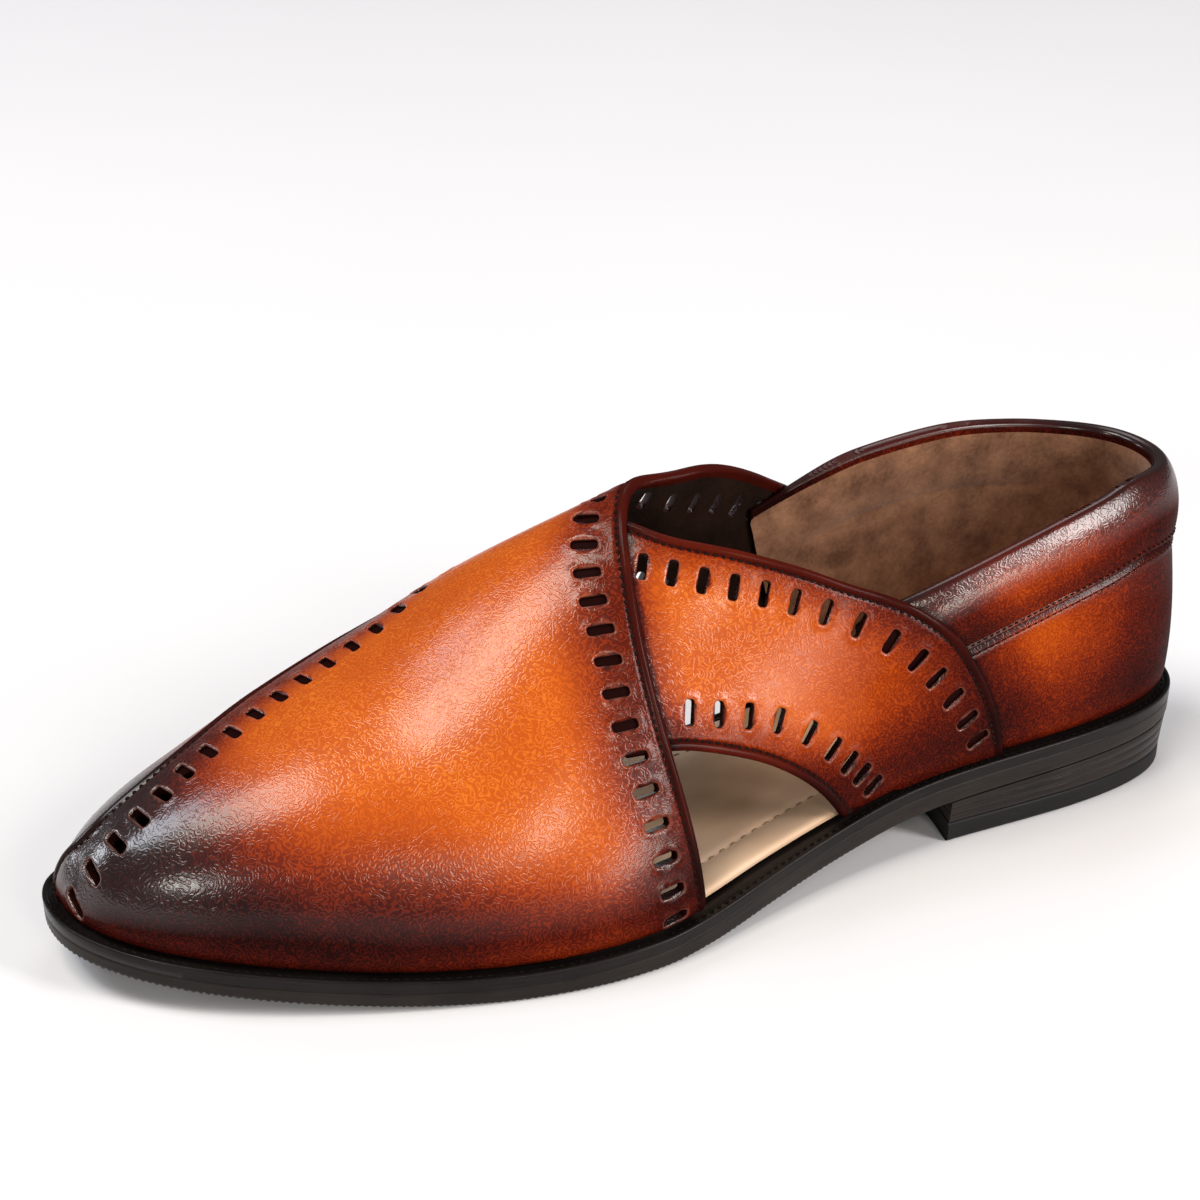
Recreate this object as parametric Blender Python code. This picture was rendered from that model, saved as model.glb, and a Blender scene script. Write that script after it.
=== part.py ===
"""Peshawari chappal, left shoe: a closed slip-on with two crossing panels, a padded
quarter and a low stacked heel on a thin welted sole.

Lengths in the tables are millimetres, measured from the back of the heel (x, to the toe),
from the heel's centre line (y, to the wearer's left, which is the outer side) and from the
floor (z).  Every mesh is made in metres with its origin under the middle of the shoe.
"""

from math import pi

import bmesh
import bpy
import numpy as np
from mathutils.geometry import delaunay_2d_cdt

MM = 0.001

# ---- driving dimensions ----
LENGTH = 302.0              # of the outsole
HEEL_BREAST = 81.0          # front of the heel block
TOP_PIECE = 5.5             # height of the heel's wearing layer
WELT = 3.0                  # thickness of the welt
INSOLE = 2.2                # the insole stands this far above the welt
GAP = 0.3                   # between neighbouring pieces
UPPER_INSET_HEEL = 4.2      # last's feather line, inside the sole's edge
UPPER_INSET_BALL = 6.0
WELT_WIDTH = 11.0
HEEL_FAN = 33.0             # the last's ridge ends this far inside the heel
TOE_FAN = 12.0              # and this far inside the toe
COLLAR_BAND = 20.0          # width of the padded collar
COLLAR_DEPTHS = (0.0, 1.2, 3.5, 8.0, 13.5, 18.0, COLLAR_BAND)
COLLAR_COLUMNS = 24
COLLAR_PAD_OUT = 2.6        # how far it swells outwards
COLLAR_PAD_IN = 2.0         # and inwards
EDGE_STEP = 0.5             # width of the step at a panel's edge
NEAR_STEP_TOP = 0.4
SLOT_LENGTH = 6.3
SLOT_WIDTH = 2.2
SLOT_CORNER = 0.75

# inner and outer faces of each panel, from the last
PANEL_FACES = {"quarter": (0.0, 1.8), "under": (0.5, 2.8), "over": (1.1, 3.8)}

# ---- the sole ----
OUTLINE = {
    "x":     (0.0, 3.0, 12.0, 28.0, 50.0, 78.0, 110.0, 140.0, 165.0, 190.0, 215.0, 240.0, 262.0, 280.0,
              293.0, 300.0, 302.0),
    "outer": (1.0, 15.0, 24.3, 29.8, 32.3, 33.2, 36.4, 44.0, 51.3, 52.8, 48.6, 41.3, 32.8, 23.6,
              13.3, 3.0, -7.5),
    "inner": (1.0, -12.5, -21.5, -27.8, -30.6, -30.0, -28.0, -29.5, -35.0, -43.0, -48.0, -47.5, -42.0,
              -34.0, -25.0, -16.5, -7.5),
}
UNDERSIDE = {
    "x": (0.0, 81.0, 95.0, 115.0, 135.0, 155.0, 170.0, 205.0, 222.0, 240.0, 258.0, 275.0, 290.0, 302.0),
    "z": (15.5, 12.4, 11.0, 7.3, 3.8, 1.0, 0.0, 0.0, 0.6, 2.0, 3.9, 6.2, 8.6, 10.9),
}
THICKNESS = {"x": (0.0, 81.0, 140.0, 200.0, 302.0), "t": (7.9, 8.4, 8.4, 7.3, 7.1)}

# ---- the last: its ridge, and how each cross-section leaves the feather line and meets the ridge ----
LAST = {
    "x":       (0.0, 40.0, 80.0, 110.0, 135.0, 155.0, 190.0, 217.0, 245.0, 270.0, 290.0, 302.0),
    "ridge_y": (1.0, 0.0, 0.0, -1.0, -2.0, -6.0, -10.5, -11.6, -7.2, -4.0, -3.6, -7.5),
    "ridge_z": (124.0, 124.0, 121.0, 112.0, 100.5, 92.1, 76.3, 61.5, 52.1, 43.8, 35.0, 27.7),
    "swell":   (2.5, 4.0, 4.0, 3.0, 3.0, 3.0, 4.0, 4.0, 4.0, 3.0, 1.0, -1.0),
    "rise":    (38.0, 38.0, 38.0, 34.0, 27.0, 24.0, 24.0, 22.0, 19.0, 15.0, 9.0, 3.5),
    "crown":   (24.0, 24.0, 24.0, 20.0, 15.0, 18.0, 24.5, 28.5, 26.5, 19.0, 13.0, 4.0),
    "drop":    (18.0, 18.0, 18.0, 10.0, 1.0, 0.0, 0.0, 0.0, 0.0, 0.0, 1.0, 3.0),
}

# ---- the panels' edges on the last: x, and w from 0 (outer feather) over 1 (ridge) to 2 (inner feather) ----
OVER_COLLAR_EDGE = {
    "x": (156.0, 159.1, 161.2, 161.3, 159.0, 155.6, 150.7, 143.0, 130.0, 117.0, 104.0, 89.0, 75.0, 64.0,
          57.0),
    "w": (-0.04, 0.274, 0.447, 0.60, 0.761, 0.899, 1.021, 1.13, 1.22, 1.32, 1.43, 1.56, 1.70, 1.86, 2.04),
}
OVER_TOE_EDGE = {
    "x": (301.4, 301.0, 299.3, 295.1, 285.1, 273.0, 260.2, 247.2, 234.0, 221.5, 209.5, 197.0, 182.0, 165.0,
          149.0, 135.0, 122.0, 110.0),
    "w": (2.04, 1.70, 1.38, 1.21, 1.155, 1.165, 1.195, 1.221, 1.237, 1.25, 1.286, 1.35, 1.44, 1.53,
          1.61, 1.71, 1.84, 2.04),
}
STRAP_COLLAR_EDGE = {
    "x": (168.0, 158.6, 150.5, 140.3, 129.4, 118.3, 107.0, 94.5, 82.0, 73.0, 64.0),
    "w": (1.03, 0.938, 0.822, 0.735, 0.657, 0.585, 0.511, 0.435, 0.322, 0.188, -0.04),
}
STRAP_LOWER_EDGE = {
    "x": (171.6, 158.8, 143.5, 130.0, 119.0, 110.5),
    "w": (0.42, 0.389, 0.315, 0.218, 0.099, -0.04),
}
# rows of slots: the middle of the n-th one
COLLAR_SLOTS = {
    "n": (0, 3, 6, 9, 12, 14, 17, 20, 23, 26, 30),
    "x": (166.0, 168.6, 171.1, 170.4, 166.8, 158.6, 137.5, 117.3, 99.6, 83.9, 69.4),
    "w": (0.04, 0.278, 0.481, 0.674, 0.884, 1.06, 1.29, 1.426, 1.575, 1.729, 1.96),
}
TOE_SLOTS = {
    "n": (0, 1, 2, 3, 5, 7, 10, 13, 16, 19, 22, 25, 28, 31),
    "x": (299.3, 295.6, 290.2, 283.8, 270.2, 255.8, 234.8, 213.4, 192.5, 170.4, 149.8, 131.1, 116.4, 105.7),
    "w": (0.281, 0.63, 0.808, 0.886, 0.987, 1.028, 1.062, 1.083, 1.203, 1.353, 1.469, 1.605, 1.772, 1.962),
}
STRAP_COLLAR_SLOTS = {
    "n": (0, 2, 4, 6, 8, 10, 12, 13),
    "x": (156.3, 143.4, 129.6, 115.3, 100.1, 88.2, 78.6, 74.8),
    "w": (0.757, 0.663, 0.574, 0.485, 0.372, 0.252, 0.126, 0.067),
}
STRAP_LOWER_SLOTS = {
    "n": (0, 2, 3, 4, 5, 7, 8),
    "x": (153.7, 138.6, 130.8, 123.0, 116.9, 108.7, 105.2),
    "w": (0.443, 0.373, 0.329, 0.269, 0.205, 0.107, 0.06),
}
UNDER_REAR_EDGE = {"x": (156.0, 159.0, 162.0, 165.0), "w": (2.04, 1.75, 1.58, 1.45)}
QUARTER_TOP_OUTER = {
    "x": (0.0, 19.0, 33.0, 56.0, 76.0, 96.0, 108.0), "w": (0.545, 0.55, 0.53, 0.495, 0.465, 0.44, 0.43),
}
QUARTER_TOP_INNER = {
    "x": (0.0, 19.0, 33.0, 56.0, 79.0, 104.0, 114.0), "w": (1.455, 1.435, 1.42, 1.405, 1.41, 1.445, 1.46),
}
QUARTER_FRONT = 92.0        # where the quarter's hidden front edge meets the feather line

COLOURS = {
    "upper": (0.42, 0.13, 0.035), "insole": (0.72, 0.58, 0.40), "welt": (0.02, 0.016, 0.014),
    "outsole": (0.03, 0.022, 0.018), "heel_stack": (0.028, 0.02, 0.016), "heel_cap": (0.015, 0.014, 0.014),
}
ROUGHNESS = {"upper": 0.32, "insole": 0.6, "welt": 0.5, "outsole": 0.45, "heel_stack": 0.45, "heel_cap": 0.6}


# ---- curves through tables ----
def steady(xs, ys, x):
    """Cubic through the points that never swings past them."""
    xs, ys, x = (np.asarray(v, float) for v in (xs, ys, x))
    step = np.diff(xs)
    slope = np.diff(ys) / step
    tangent = np.zeros_like(ys)
    same = slope[:-1] * slope[1:] > 0
    before, after = 2 * step[1:] + step[:-1], step[1:] + 2 * step[:-1]
    safe_a, safe_b = np.where(same, slope[:-1], 1.0), np.where(same, slope[1:], 1.0)
    tangent[1:-1] = np.where(same, (before + after) / (before / safe_a + after / safe_b), 0.0)
    tangent[0], tangent[-1] = slope[0], slope[-1]
    i = np.clip(np.searchsorted(xs, x) - 1, 0, len(xs) - 2)
    t = np.clip((x - xs[i]) / step[i], 0.0, 1.0)
    start = ys[i] * (1 + 2 * t) * (1 - t) ** 2 + tangent[i] * step[i] * t * (1 - t) ** 2
    end = ys[i + 1] * t * t * (3 - 2 * t) + tangent[i + 1] * step[i] * t * t * (t - 1)
    return start + end


def spline(xs, ys, x):
    """Natural cubic spline through the points."""
    xs, ys, x = (np.asarray(v, float) for v in (xs, ys, x))
    n, step = len(xs), np.diff(xs)
    rows, right = np.eye(n), np.zeros(n)
    for i in range(1, n - 1):
        rows[i, i - 1:i + 2] = step[i - 1], 2 * (step[i - 1] + step[i]), step[i]
        right[i] = 3 * ((ys[i + 1] - ys[i]) / step[i] - (ys[i] - ys[i - 1]) / step[i - 1])
    second = np.linalg.solve(rows, right)
    i = np.clip(np.searchsorted(xs, x) - 1, 0, n - 2)
    t = x - xs[i]
    first = (ys[i + 1] - ys[i]) / step[i] - step[i] * (2 * second[i] + second[i + 1]) / 3
    return ys[i] + first * t + second[i] * t * t + (second[i + 1] - second[i]) / (3 * step[i]) * t ** 3


W_PER_MM = 0.012            # roughly, over most of the last


def run(points):
    """Rough real length along a line of (x, w) points, at each of them."""
    return np.r_[0, np.cumsum(np.hypot(*(np.diff(points, axis=0) / (1.0, W_PER_MM)).T))]


def smooth_line(xs, ys, count):
    """A smooth curve through points of x and w, read at even steps of its length."""
    points = np.stack([xs, ys], 1).astype(float)
    chord = run(points)
    fine = np.linspace(0, chord[-1], 20 * len(xs))
    curve = np.stack([spline(chord, points[:, k], fine) for k in (0, 1)], 1)
    length = run(curve)
    even = np.linspace(0, length[-1], count)
    return np.stack([np.interp(even, length, curve[:, k]) for k in (0, 1)], 1)


# ---- the sole's outline and levels ----
def turn(x):
    """Angle round the outline of a length station: 0 at the heel, pi at the toe."""
    return np.arccos(np.clip(1 - 2 * np.asarray(x, float) / LENGTH, -1, 1))


def station(angle):
    return LENGTH * (1 - np.cos(angle)) / 2


def outline(angle, side, inset=0.0):
    """Plan point of the sole's edge, moved in by inset; side is 1 outer, -1 inner."""
    column = OUTLINE["outer" if side > 0 else "inner"]
    angle = np.asarray(angle, float)
    small = 1e-3
    spots = [np.stack([station(a), spline(turn(OUTLINE["x"]), column, a)], -1)
             for a in (angle - small, angle, angle + small)]
    along = spots[2] - spots[0]
    along /= np.linalg.norm(along, axis=-1, keepdims=True)
    out = side * np.stack([-along[..., 1], along[..., 0]], -1)
    out[angle < small] = (-1.0, 0.0)
    out[angle > pi - small] = (1.0, 0.0)
    return spots[1] - out * np.asarray(inset)[..., None]


def underside(x):
    return steady(UNDERSIDE["x"], UNDERSIDE["z"], x)


def sole_top(x):
    return underside(x) + steady(THICKNESS["x"], THICKNESS["t"], x)


# ---- the last ----
def of_last(column, x):
    return steady(LAST["x"], LAST[column], x)


def feather_inset(x):
    blend = steady((0.0, 80.0, 150.0, LENGTH), (0.0, 0.0, 1.0, 1.0), x)
    return UPPER_INSET_HEEL + (UPPER_INSET_BALL - UPPER_INSET_HEEL) * blend


def half_section(angle, w, side):
    """Point of the last between the feather line (w 0) and the ridge (w 1) of one side."""
    x = station(angle)
    plan = outline(angle, side, feather_inset(x))
    feather = np.concatenate([plan, (sole_top(plan[..., 0]) + GAP)[..., None]], -1)
    ridge_x = x + HEEL_FAN * np.cos(angle / 2) ** 10 - TOE_FAN * np.sin(angle / 2) ** 18
    ridge = np.stack([ridge_x, of_last("ridge_y", x), of_last("ridge_z", x)], -1)
    aside = feather[..., :2] - ridge[..., :2]
    aside /= np.linalg.norm(aside, axis=-1, keepdims=True)
    low, high = feather.copy(), ridge.copy()
    low[..., :2] += aside * of_last("swell", x)[..., None]
    low[..., 2] += of_last("rise", x)
    high[..., :2] += aside * of_last("crown", x)[..., None]
    high[..., 2] -= of_last("drop", x)
    w = w[..., None]
    return feather * (1 - w) ** 3 + 3 * low * w * (1 - w) ** 2 + 3 * high * w * w * (1 - w) + ridge * w ** 3


def last_point(angle, w):
    angle, w = np.broadcast_arrays(np.asarray(angle, float), np.asarray(w, float))
    outer = half_section(angle, np.clip(w, 0, 1), 1)
    inner = half_section(angle, np.clip(2 - w, 0, 1), -1)
    return np.where((w <= 1)[..., None], outer, inner)


def slopes(angle, w):
    """How the last's point moves with the angle and with w."""
    small = 2e-3
    angle = np.clip(angle, small, pi - small)
    w = np.clip(w, small, 2 - small)
    by_angle = (last_point(angle + small, w) - last_point(angle - small, w)) / (2 * small)
    by_w = (last_point(angle, w + small) - last_point(angle, w - small)) / (2 * small)
    return by_angle, by_w


def last_normal(angle, w):
    by_angle, by_w = slopes(angle, w)
    normal = np.cross(by_w, by_angle)
    ends = (angle < 1e-6) | (angle > pi - 1e-6)
    normal[ends, 1] = 0.0
    return normal / np.linalg.norm(normal, axis=-1, keepdims=True)


# ---- curves on the last, as arrays of (angle, w) ----
def edge(table, count=60):
    line = smooth_line(table["x"], table["w"], count)
    return np.stack([turn(np.clip(line[:, 0], 0, LENGTH)), line[:, 1]], 1)


def moved(spots, along, across, by_along, by_across):
    """Spots moved on the surface by real distances along and across a direction."""
    target = last_point(spots[:, 0], spots[:, 1]) + along * by_along + across * by_across
    for _ in range(4):
        by_angle, by_w = slopes(spots[:, 0], spots[:, 1])
        rest = target - last_point(spots[:, 0], spots[:, 1])
        aa, ww, aw = (by_angle ** 2).sum(1), (by_w ** 2).sum(1), (by_angle * by_w).sum(1)
        aa, ww = aa + 0.001 * (aa + ww), ww + 0.001 * (aa + ww)
        ra, rw = (by_angle * rest).sum(1), (by_w * rest).sum(1)
        spots = spots + np.stack([ra * ww - rw * aw, rw * aa - ra * aw], 1) / (aa * ww - aw * aw)[:, None]
        past = spots[:, 0] > pi
        spots[past] = (2 * pi, 2) - spots[past]
    return spots


def frames(line):
    """Unit directions along and across a line on the surface, at each of its points."""
    points = last_point(line[:, 0], line[:, 1])
    along = np.gradient(points, axis=0)
    along /= np.linalg.norm(along, axis=1, keepdims=True)
    across = np.cross(last_normal(line[:, 0], line[:, 1]), along)
    return points, along, across


def shifted(line, distance):
    """The line moved sideways on the surface, to its left for a positive distance."""
    _, along, across = frames(line)
    return moved(line, along, across, 0.0, distance)


def slot_row(row):
    """Slot outlines of a row, each lying across it."""
    n = np.arange(row["n"][-1] + 1)
    here, ahead = (np.stack([turn(spline(row["n"], row["x"], n + step)),
                             spline(row["n"], row["w"], n + step)], 1) for step in (0.0, 0.01))
    along = last_point(ahead[:, 0], ahead[:, 1]) - last_point(here[:, 0], here[:, 1])
    along /= np.linalg.norm(along, axis=1, keepdims=True)
    across = np.cross(last_normal(here[:, 0], here[:, 1]), along)
    half, wide = SLOT_LENGTH / 2, SLOT_WIDTH / 2
    corners = [(-wide, SLOT_CORNER - half), (SLOT_CORNER - wide, -half), (wide - SLOT_CORNER, -half),
               (wide, SLOT_CORNER - half), (wide, half - SLOT_CORNER), (wide - SLOT_CORNER, half),
               (SLOT_CORNER - wide, half), (-wide, half - SLOT_CORNER)]
    around = [moved(here, along, across, *corner) for corner in corners]
    return np.stack(around, 1)


# ---- plane geometry in the unrolled upper ----
UNROLL = np.array([120.0, 80.0])        # millimetres for a unit of angle and of w, roughly true


def inside(points, polygon):
    """Which points lie in the polygon."""
    x, y = points[:, 0][:, None], points[:, 1][:, None]
    x0, y0 = polygon[:, 0][None], polygon[:, 1][None]
    x1, y1 = np.roll(x0, -1, 1), np.roll(y0, -1, 1)
    spans = (y0 > y) != (y1 > y)
    rise = np.where(y1 == y0, 1.0, y1 - y0)
    return (spans & (x < (x1 - x0) * (y - y0) / rise + x0)).sum(1) % 2 == 1


def over_shape(inset):
    """Outline of the over-panel in (angle, w), its two free edges moved in by inset."""
    collar, toe = edge(OVER_COLLAR_EDGE), edge(OVER_TOE_EDGE)
    if inset:
        collar, toe = shifted(collar, inset), shifted(toe, -inset)
    corners = np.array([[toe[0, 0], 2.2], [pi + 0.2, 2.2], [pi + 0.2, -0.2], [collar[0, 0], -0.2]])
    return np.concatenate([collar, toe[::-1], corners])


def under_shape(inset):
    """Outline of the under-panel, whose front lies hidden beneath the over-panel."""
    top, low, rear = edge(STRAP_COLLAR_EDGE), edge(STRAP_LOWER_EDGE), edge(UNDER_REAR_EDGE)
    if inset:
        top, low, rear = shifted(top, -inset), shifted(low, inset), shifted(rear, -inset)
    hidden = np.array([[turn(230.0), 0.9], [pi + 0.2, 1.2], [pi + 0.2, 2.2], [rear[0, 0], 2.2]])
    return np.concatenate([top, low[::-1], hidden, rear])


def quarter_shape():
    outer, inner = edge(QUARTER_TOP_OUTER), edge(QUARTER_TOP_INNER)
    front = turn(QUARTER_FRONT)
    corners = np.array([[front, -0.2], [-0.2, -0.2], [-0.2, outer[0, 1]]])
    lower = np.concatenate([corners, outer])
    upper = np.concatenate([[[front, 2.2], [-0.2, 2.2], [-0.2, inner[0, 1]]], inner])
    return lower, upper


def collar_depth(angle, w):
    """Real distance below the quarter's top edge, and how much of the pad there is left."""
    x = station(angle)
    depths = []
    for table, sign in ((QUARTER_TOP_OUTER, -1), (QUARTER_TOP_INNER, 1)):
        top = steady(table["x"], table["w"], x)
        per_w = np.linalg.norm(slopes(angle, top)[1], axis=-1)
        depths.append(sign * (w - top) * per_w)
    return np.where(w < 1, *depths), 1 - steady((0.0, 84.0, 104.0, LENGTH), (0.0, 0.0, 1.0, 1.0), x)


def wall_faces(spots, on_over, on_under):
    """Distance of the inner and the outer face from the last, at each spot."""
    faces = np.array([PANEL_FACES["over" if o else "under" if u else "quarter"]
                      for o, u in zip(on_over, on_under)])
    depth, left = collar_depth(spots[:, 0], spots[:, 1])
    round_off = np.sin(pi * np.clip(depth / COLLAR_BAND, 0, 1)) ** 0.6 * left
    faces[:, 0] -= COLLAR_PAD_IN * round_off
    faces[:, 1] += COLLAR_PAD_OUT * round_off
    return faces


def collar_rows():
    """Lines along the padded collar, close where it rounds."""
    rows = []
    at_seam = np.linalg.norm(slopes(0.0, QUARTER_TOP_OUTER["w"][0])[1])
    for table, sign in ((QUARTER_TOP_OUTER, -1), (QUARTER_TOP_INNER, 1)):
        angle = np.linspace(0, turn(table["x"][-1] - 3.0), COLLAR_COLUMNS)
        top = steady(table["x"], table["w"], station(angle))
        per_w = np.linalg.norm(slopes(angle, top)[1], axis=-1)
        per_w[0] = at_seam
        for depth in COLLAR_DEPTHS:
            rows.append(np.stack([angle, top + sign * depth / per_w], 1))
    return rows


def upper_constraints():
    """Every line that the upper's facets follow, and the slots cut through it."""
    over_collar, over_toe = edge(OVER_COLLAR_EDGE), edge(OVER_TOE_EDGE)
    strap_top, strap_low = edge(STRAP_COLLAR_EDGE), edge(STRAP_LOWER_EDGE, 24)
    rear = edge(UNDER_REAR_EDGE, 16)
    lines = [over_collar, shifted(over_collar, EDGE_STEP), over_toe, shifted(over_toe, -EDGE_STEP)]
    lines += [strap_top, shifted(strap_top, -EDGE_STEP), strap_low, shifted(strap_low, EDGE_STEP)]
    lines += [rear, shifted(rear, -EDGE_STEP)]
    lines += collar_rows()
    rows = (COLLAR_SLOTS, TOE_SLOTS, STRAP_COLLAR_SLOTS, STRAP_LOWER_SLOTS)
    slots = [slot_row(row) for row in rows]
    return lines, np.concatenate(slots)


# ---- the upper: one hollow wall ----
FACET = 7.0                 # spacing of the upper's free points
FACET_ROOM = 4.4            # and their distance from the lines
SEAM_HEEL = 6               # points up the heel seam below the collar, and round the toe seam
SEAM_TOE = 9


def border():
    """Closed border of the unrolled upper; its heel and toe ends have matching points on both sides."""
    top = QUARTER_TOP_OUTER["w"][0]
    below = COLLAR_DEPTHS / np.linalg.norm(slopes(0.0, top)[1])
    heel = np.r_[np.linspace(0, top - below[-1], SEAM_HEEL), (top - below)[-2::-1]]
    toe = np.linspace(0, 1, SEAM_TOE)
    feather = pi * np.arange(1, 60) / 60
    outer = [(a, 0.0) for a in feather]
    tip = [(pi, w) for w in np.r_[toe, 2 - toe[-2::-1]]]
    inner = [(a, 2.0) for a in feather[::-1]]
    back = [(0.0, w) for w in np.r_[2 - heel, heel[::-1]]]
    return np.array(outer + tip + inner + back)


def free_points(taken):
    """Grid points over the last that keep their distance from the lines and from each other."""
    angles = np.arange(0.04, pi, FACET / UNROLL[0])
    grid = np.array([(a, w) for a in angles for w in np.arange(0.03, 2.0, FACET / UNROLL[1])])
    places = last_point(grid[:, 0], grid[:, 1])
    placed = last_point(taken[:, 0], taken[:, 1])
    points = []
    for spot, here in zip(grid, places):
        if np.linalg.norm(placed - here, axis=1).min() > FACET_ROOM:
            placed = np.concatenate([placed, here[None]])
            points.append(spot)
    return np.array(points)


def flat_mesh():
    """Triangles of the unrolled upper, as spots and index triples."""
    lines, slots = upper_constraints()
    rim = border()
    spots, edges = [*rim], [(k, (k + 1) % len(rim)) for k in range(len(rim))]
    for line in lines:
        start = len(spots)
        spots += [*line]
        edges += [(start + k, start + k + 1) for k in range(len(line) - 1)]
    for slot in slots:
        start = len(spots)
        spots += [*slot]
        edges += [(start + k, start + (k + 1) % len(slot)) for k in range(len(slot))]
    spots += [*free_points(np.array(spots))]
    flat = [tuple(spot * UNROLL) for spot in spots]
    found = delaunay_2d_cdt(flat, edges, [], 0, 0.02, False)
    spots = np.array([tuple(v) for v in found[0]]) / UNROLL
    triangles = np.array([tuple(f) for f in found[2]])
    middle = spots[triangles].mean(1)
    keep = inside(middle, over_shape(0.0)) | inside(middle, under_shape(0.0))
    for shape in quarter_shape():
        keep |= inside(middle, shape)
    keep &= (middle[:, 0] > 0) & (middle[:, 0] < pi) & (middle[:, 1] > 0) & (middle[:, 1] < 2)
    for slot in slots:
        near = np.abs((middle - slot.mean(0)) * UNROLL).max(1) < SLOT_LENGTH * 2
        near[near] = inside(middle[near], slot)
        keep &= ~near
    return spots, triangles[keep]


def seam_partner(spot):
    """Spots that are one point on the last share a key: both sides of the heel seam and of the toe seam."""
    angle, w = spot
    if angle < 1e-5 or angle > pi - 1e-5:
        w = min(w, 2 - w)
    return round(float(angle), 5), round(float(w), 5)


def upper_mesh():
    """Vertices and faces of the hollow wall, in millimetres."""
    spots, triangles = flat_mesh()
    keys, index = {}, []
    for spot in spots:
        index.append(keys.setdefault(seam_partner(spot), len(keys)))
    spots = np.array(list(keys))
    triangles = np.array(index)[triangles]
    triangles = triangles[[len(set(t)) == 3 for t in triangles.tolist()]]
    used, triangles = np.unique(triangles, return_inverse=True)
    spots, triangles = spots[used], triangles.reshape(-1, 3)
    over = inside(spots, over_shape(NEAR_STEP_TOP))
    under = inside(spots, under_shape(NEAR_STEP_TOP))
    faces = wall_faces(spots, over, under)
    points, normals = last_point(spots[:, 0], spots[:, 1]), last_normal(spots[:, 0], spots[:, 1])
    inner = points + normals * faces[:, :1]
    outer = points + normals * faces[:, 1:]
    bottom = (spots[:, 1] < 1e-5) | (spots[:, 1] > 2 - 1e-5)
    for skin in (inner, outer):
        skin[bottom, 2] = sole_top(skin[bottom, 0]) + GAP
        skin[:, 2] = np.maximum(skin[:, 2], sole_top(skin[:, 0]) + GAP)
    count = len(spots)
    sides = {}
    for a, b, c in triangles.tolist():
        for start, end in ((a, b), (b, c), (c, a)):
            sides[(start, end)] = True
    rim = [(a, b) for a, b in sides if (b, a) not in sides]
    skins = [tuple(t) for t in (triangles[:, ::-1] + count).tolist()]
    skins += [tuple(t) for t in triangles.tolist()]
    walls = [(b, a, a + count, b + count) for a, b in rim]
    return np.concatenate([inner, outer]), skins + walls


# ---- the sole's pieces, each a stack of rings (inset from the sole's edge, height at x) ----
SOLE_STATIONS = 44
HEEL_STATIONS = 16
CHAMFER = 0.6
BREAST_HOLLOW = 3.0         # the heel's front face curves back by this
BREAST_POINTS = 9


def above(level, offset):
    return lambda x: level(x) + offset


def flat(height):
    return lambda x: np.full_like(x, height)


def sole_ring(inset, height):
    """Points round the whole sole: up its outer side, then back down its inner side."""
    angle = np.linspace(0, pi, SOLE_STATIONS + 1)
    far_in = inset(station(angle)) if callable(inset) else inset
    both = [outline(angle, side, far_in) for side in (1, -1)]
    plan = np.concatenate([both[0], both[1][-2:0:-1]])
    return np.column_stack([plan, height(plan[:, 0])])


def heel_ring(inset, height):
    """Points round the heel block, ending in its hollow front face."""
    angle = np.linspace(0, turn(HEEL_BREAST), HEEL_STATIONS + 1)
    both = [outline(angle, side, inset) for side in (1, -1)]
    share = np.linspace(0, 1, BREAST_POINTS + 2)[1:-1]
    start, end = both[0][-1], both[1][-1]
    breast = start + share[:, None] * (end - start)
    breast[:, 0] -= BREAST_HOLLOW * 4 * share * (1 - share)
    plan = np.concatenate([both[0], breast, both[1][:0:-1]])
    return np.column_stack([plan, height(plan[:, 0])])


def stacked(rings):
    """Quads between neighbouring rings."""
    size = len(rings[0])
    faces = []
    for level in range(len(rings) - 1):
        for k in range(size):
            low, high = level * size, (level + 1) * size
            after = (k + 1) % size
            faces.append((low + k, high + k, high + after, low + after))
    return np.concatenate(rings), faces


def sole_cap(start):
    """Strips across the sole between its two sides."""
    size = 2 * SOLE_STATIONS
    return [(start + k, start + k + 1, start + (size - k - 1), start + (size - k) % size)
            for k in range(SOLE_STATIONS)]


def plate(layers):
    """A solid over the whole sole, from its lowest ring to its highest."""
    points, faces = stacked([sole_ring(*layer) for layer in layers])
    top = len(points) - 2 * SOLE_STATIONS
    caps = [tuple(dict.fromkeys(face)) for face in sole_cap(0)]
    caps += [tuple(dict.fromkeys(face))[::-1] for face in sole_cap(top)]
    return points, faces + caps


def hoop(layers):
    """A ring-shaped solid: its last ring meets its first."""
    rings = [sole_ring(*layer) for layer in layers]
    points, faces = stacked(rings + rings[:1])
    size = len(rings[0]) * len(rings)
    return points[:size], [tuple(k % size for k in face) for face in faces]


def block(layers):
    """A solid under the heel, closed by flat faces."""
    points, faces = stacked([heel_ring(*layer) for layer in layers])
    size = len(points) // len(layers)
    return points, faces + [tuple(range(size)), tuple(range(len(points) - 1, len(points) - size - 1, -1))]


def outsole_mesh():
    under, top = underside, above(sole_top, -WELT - GAP)
    groove = above(underside, 2.4)
    return plate([(1.4, under), (0.4, above(under, 0.8)), (0.4, groove), (0.0, above(groove, 0.3)),
                  (0.0, above(top, -CHAMFER)), (CHAMFER, top)])


def welt_mesh():
    low = above(sole_top, -WELT)
    return hoop([(0.5, low), (0.1, above(low, 0.4)), (0.1, above(sole_top, -CHAMFER)), (CHAMFER, sole_top),
                 (WELT_WIDTH, sole_top), (WELT_WIDTH, low)])


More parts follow.
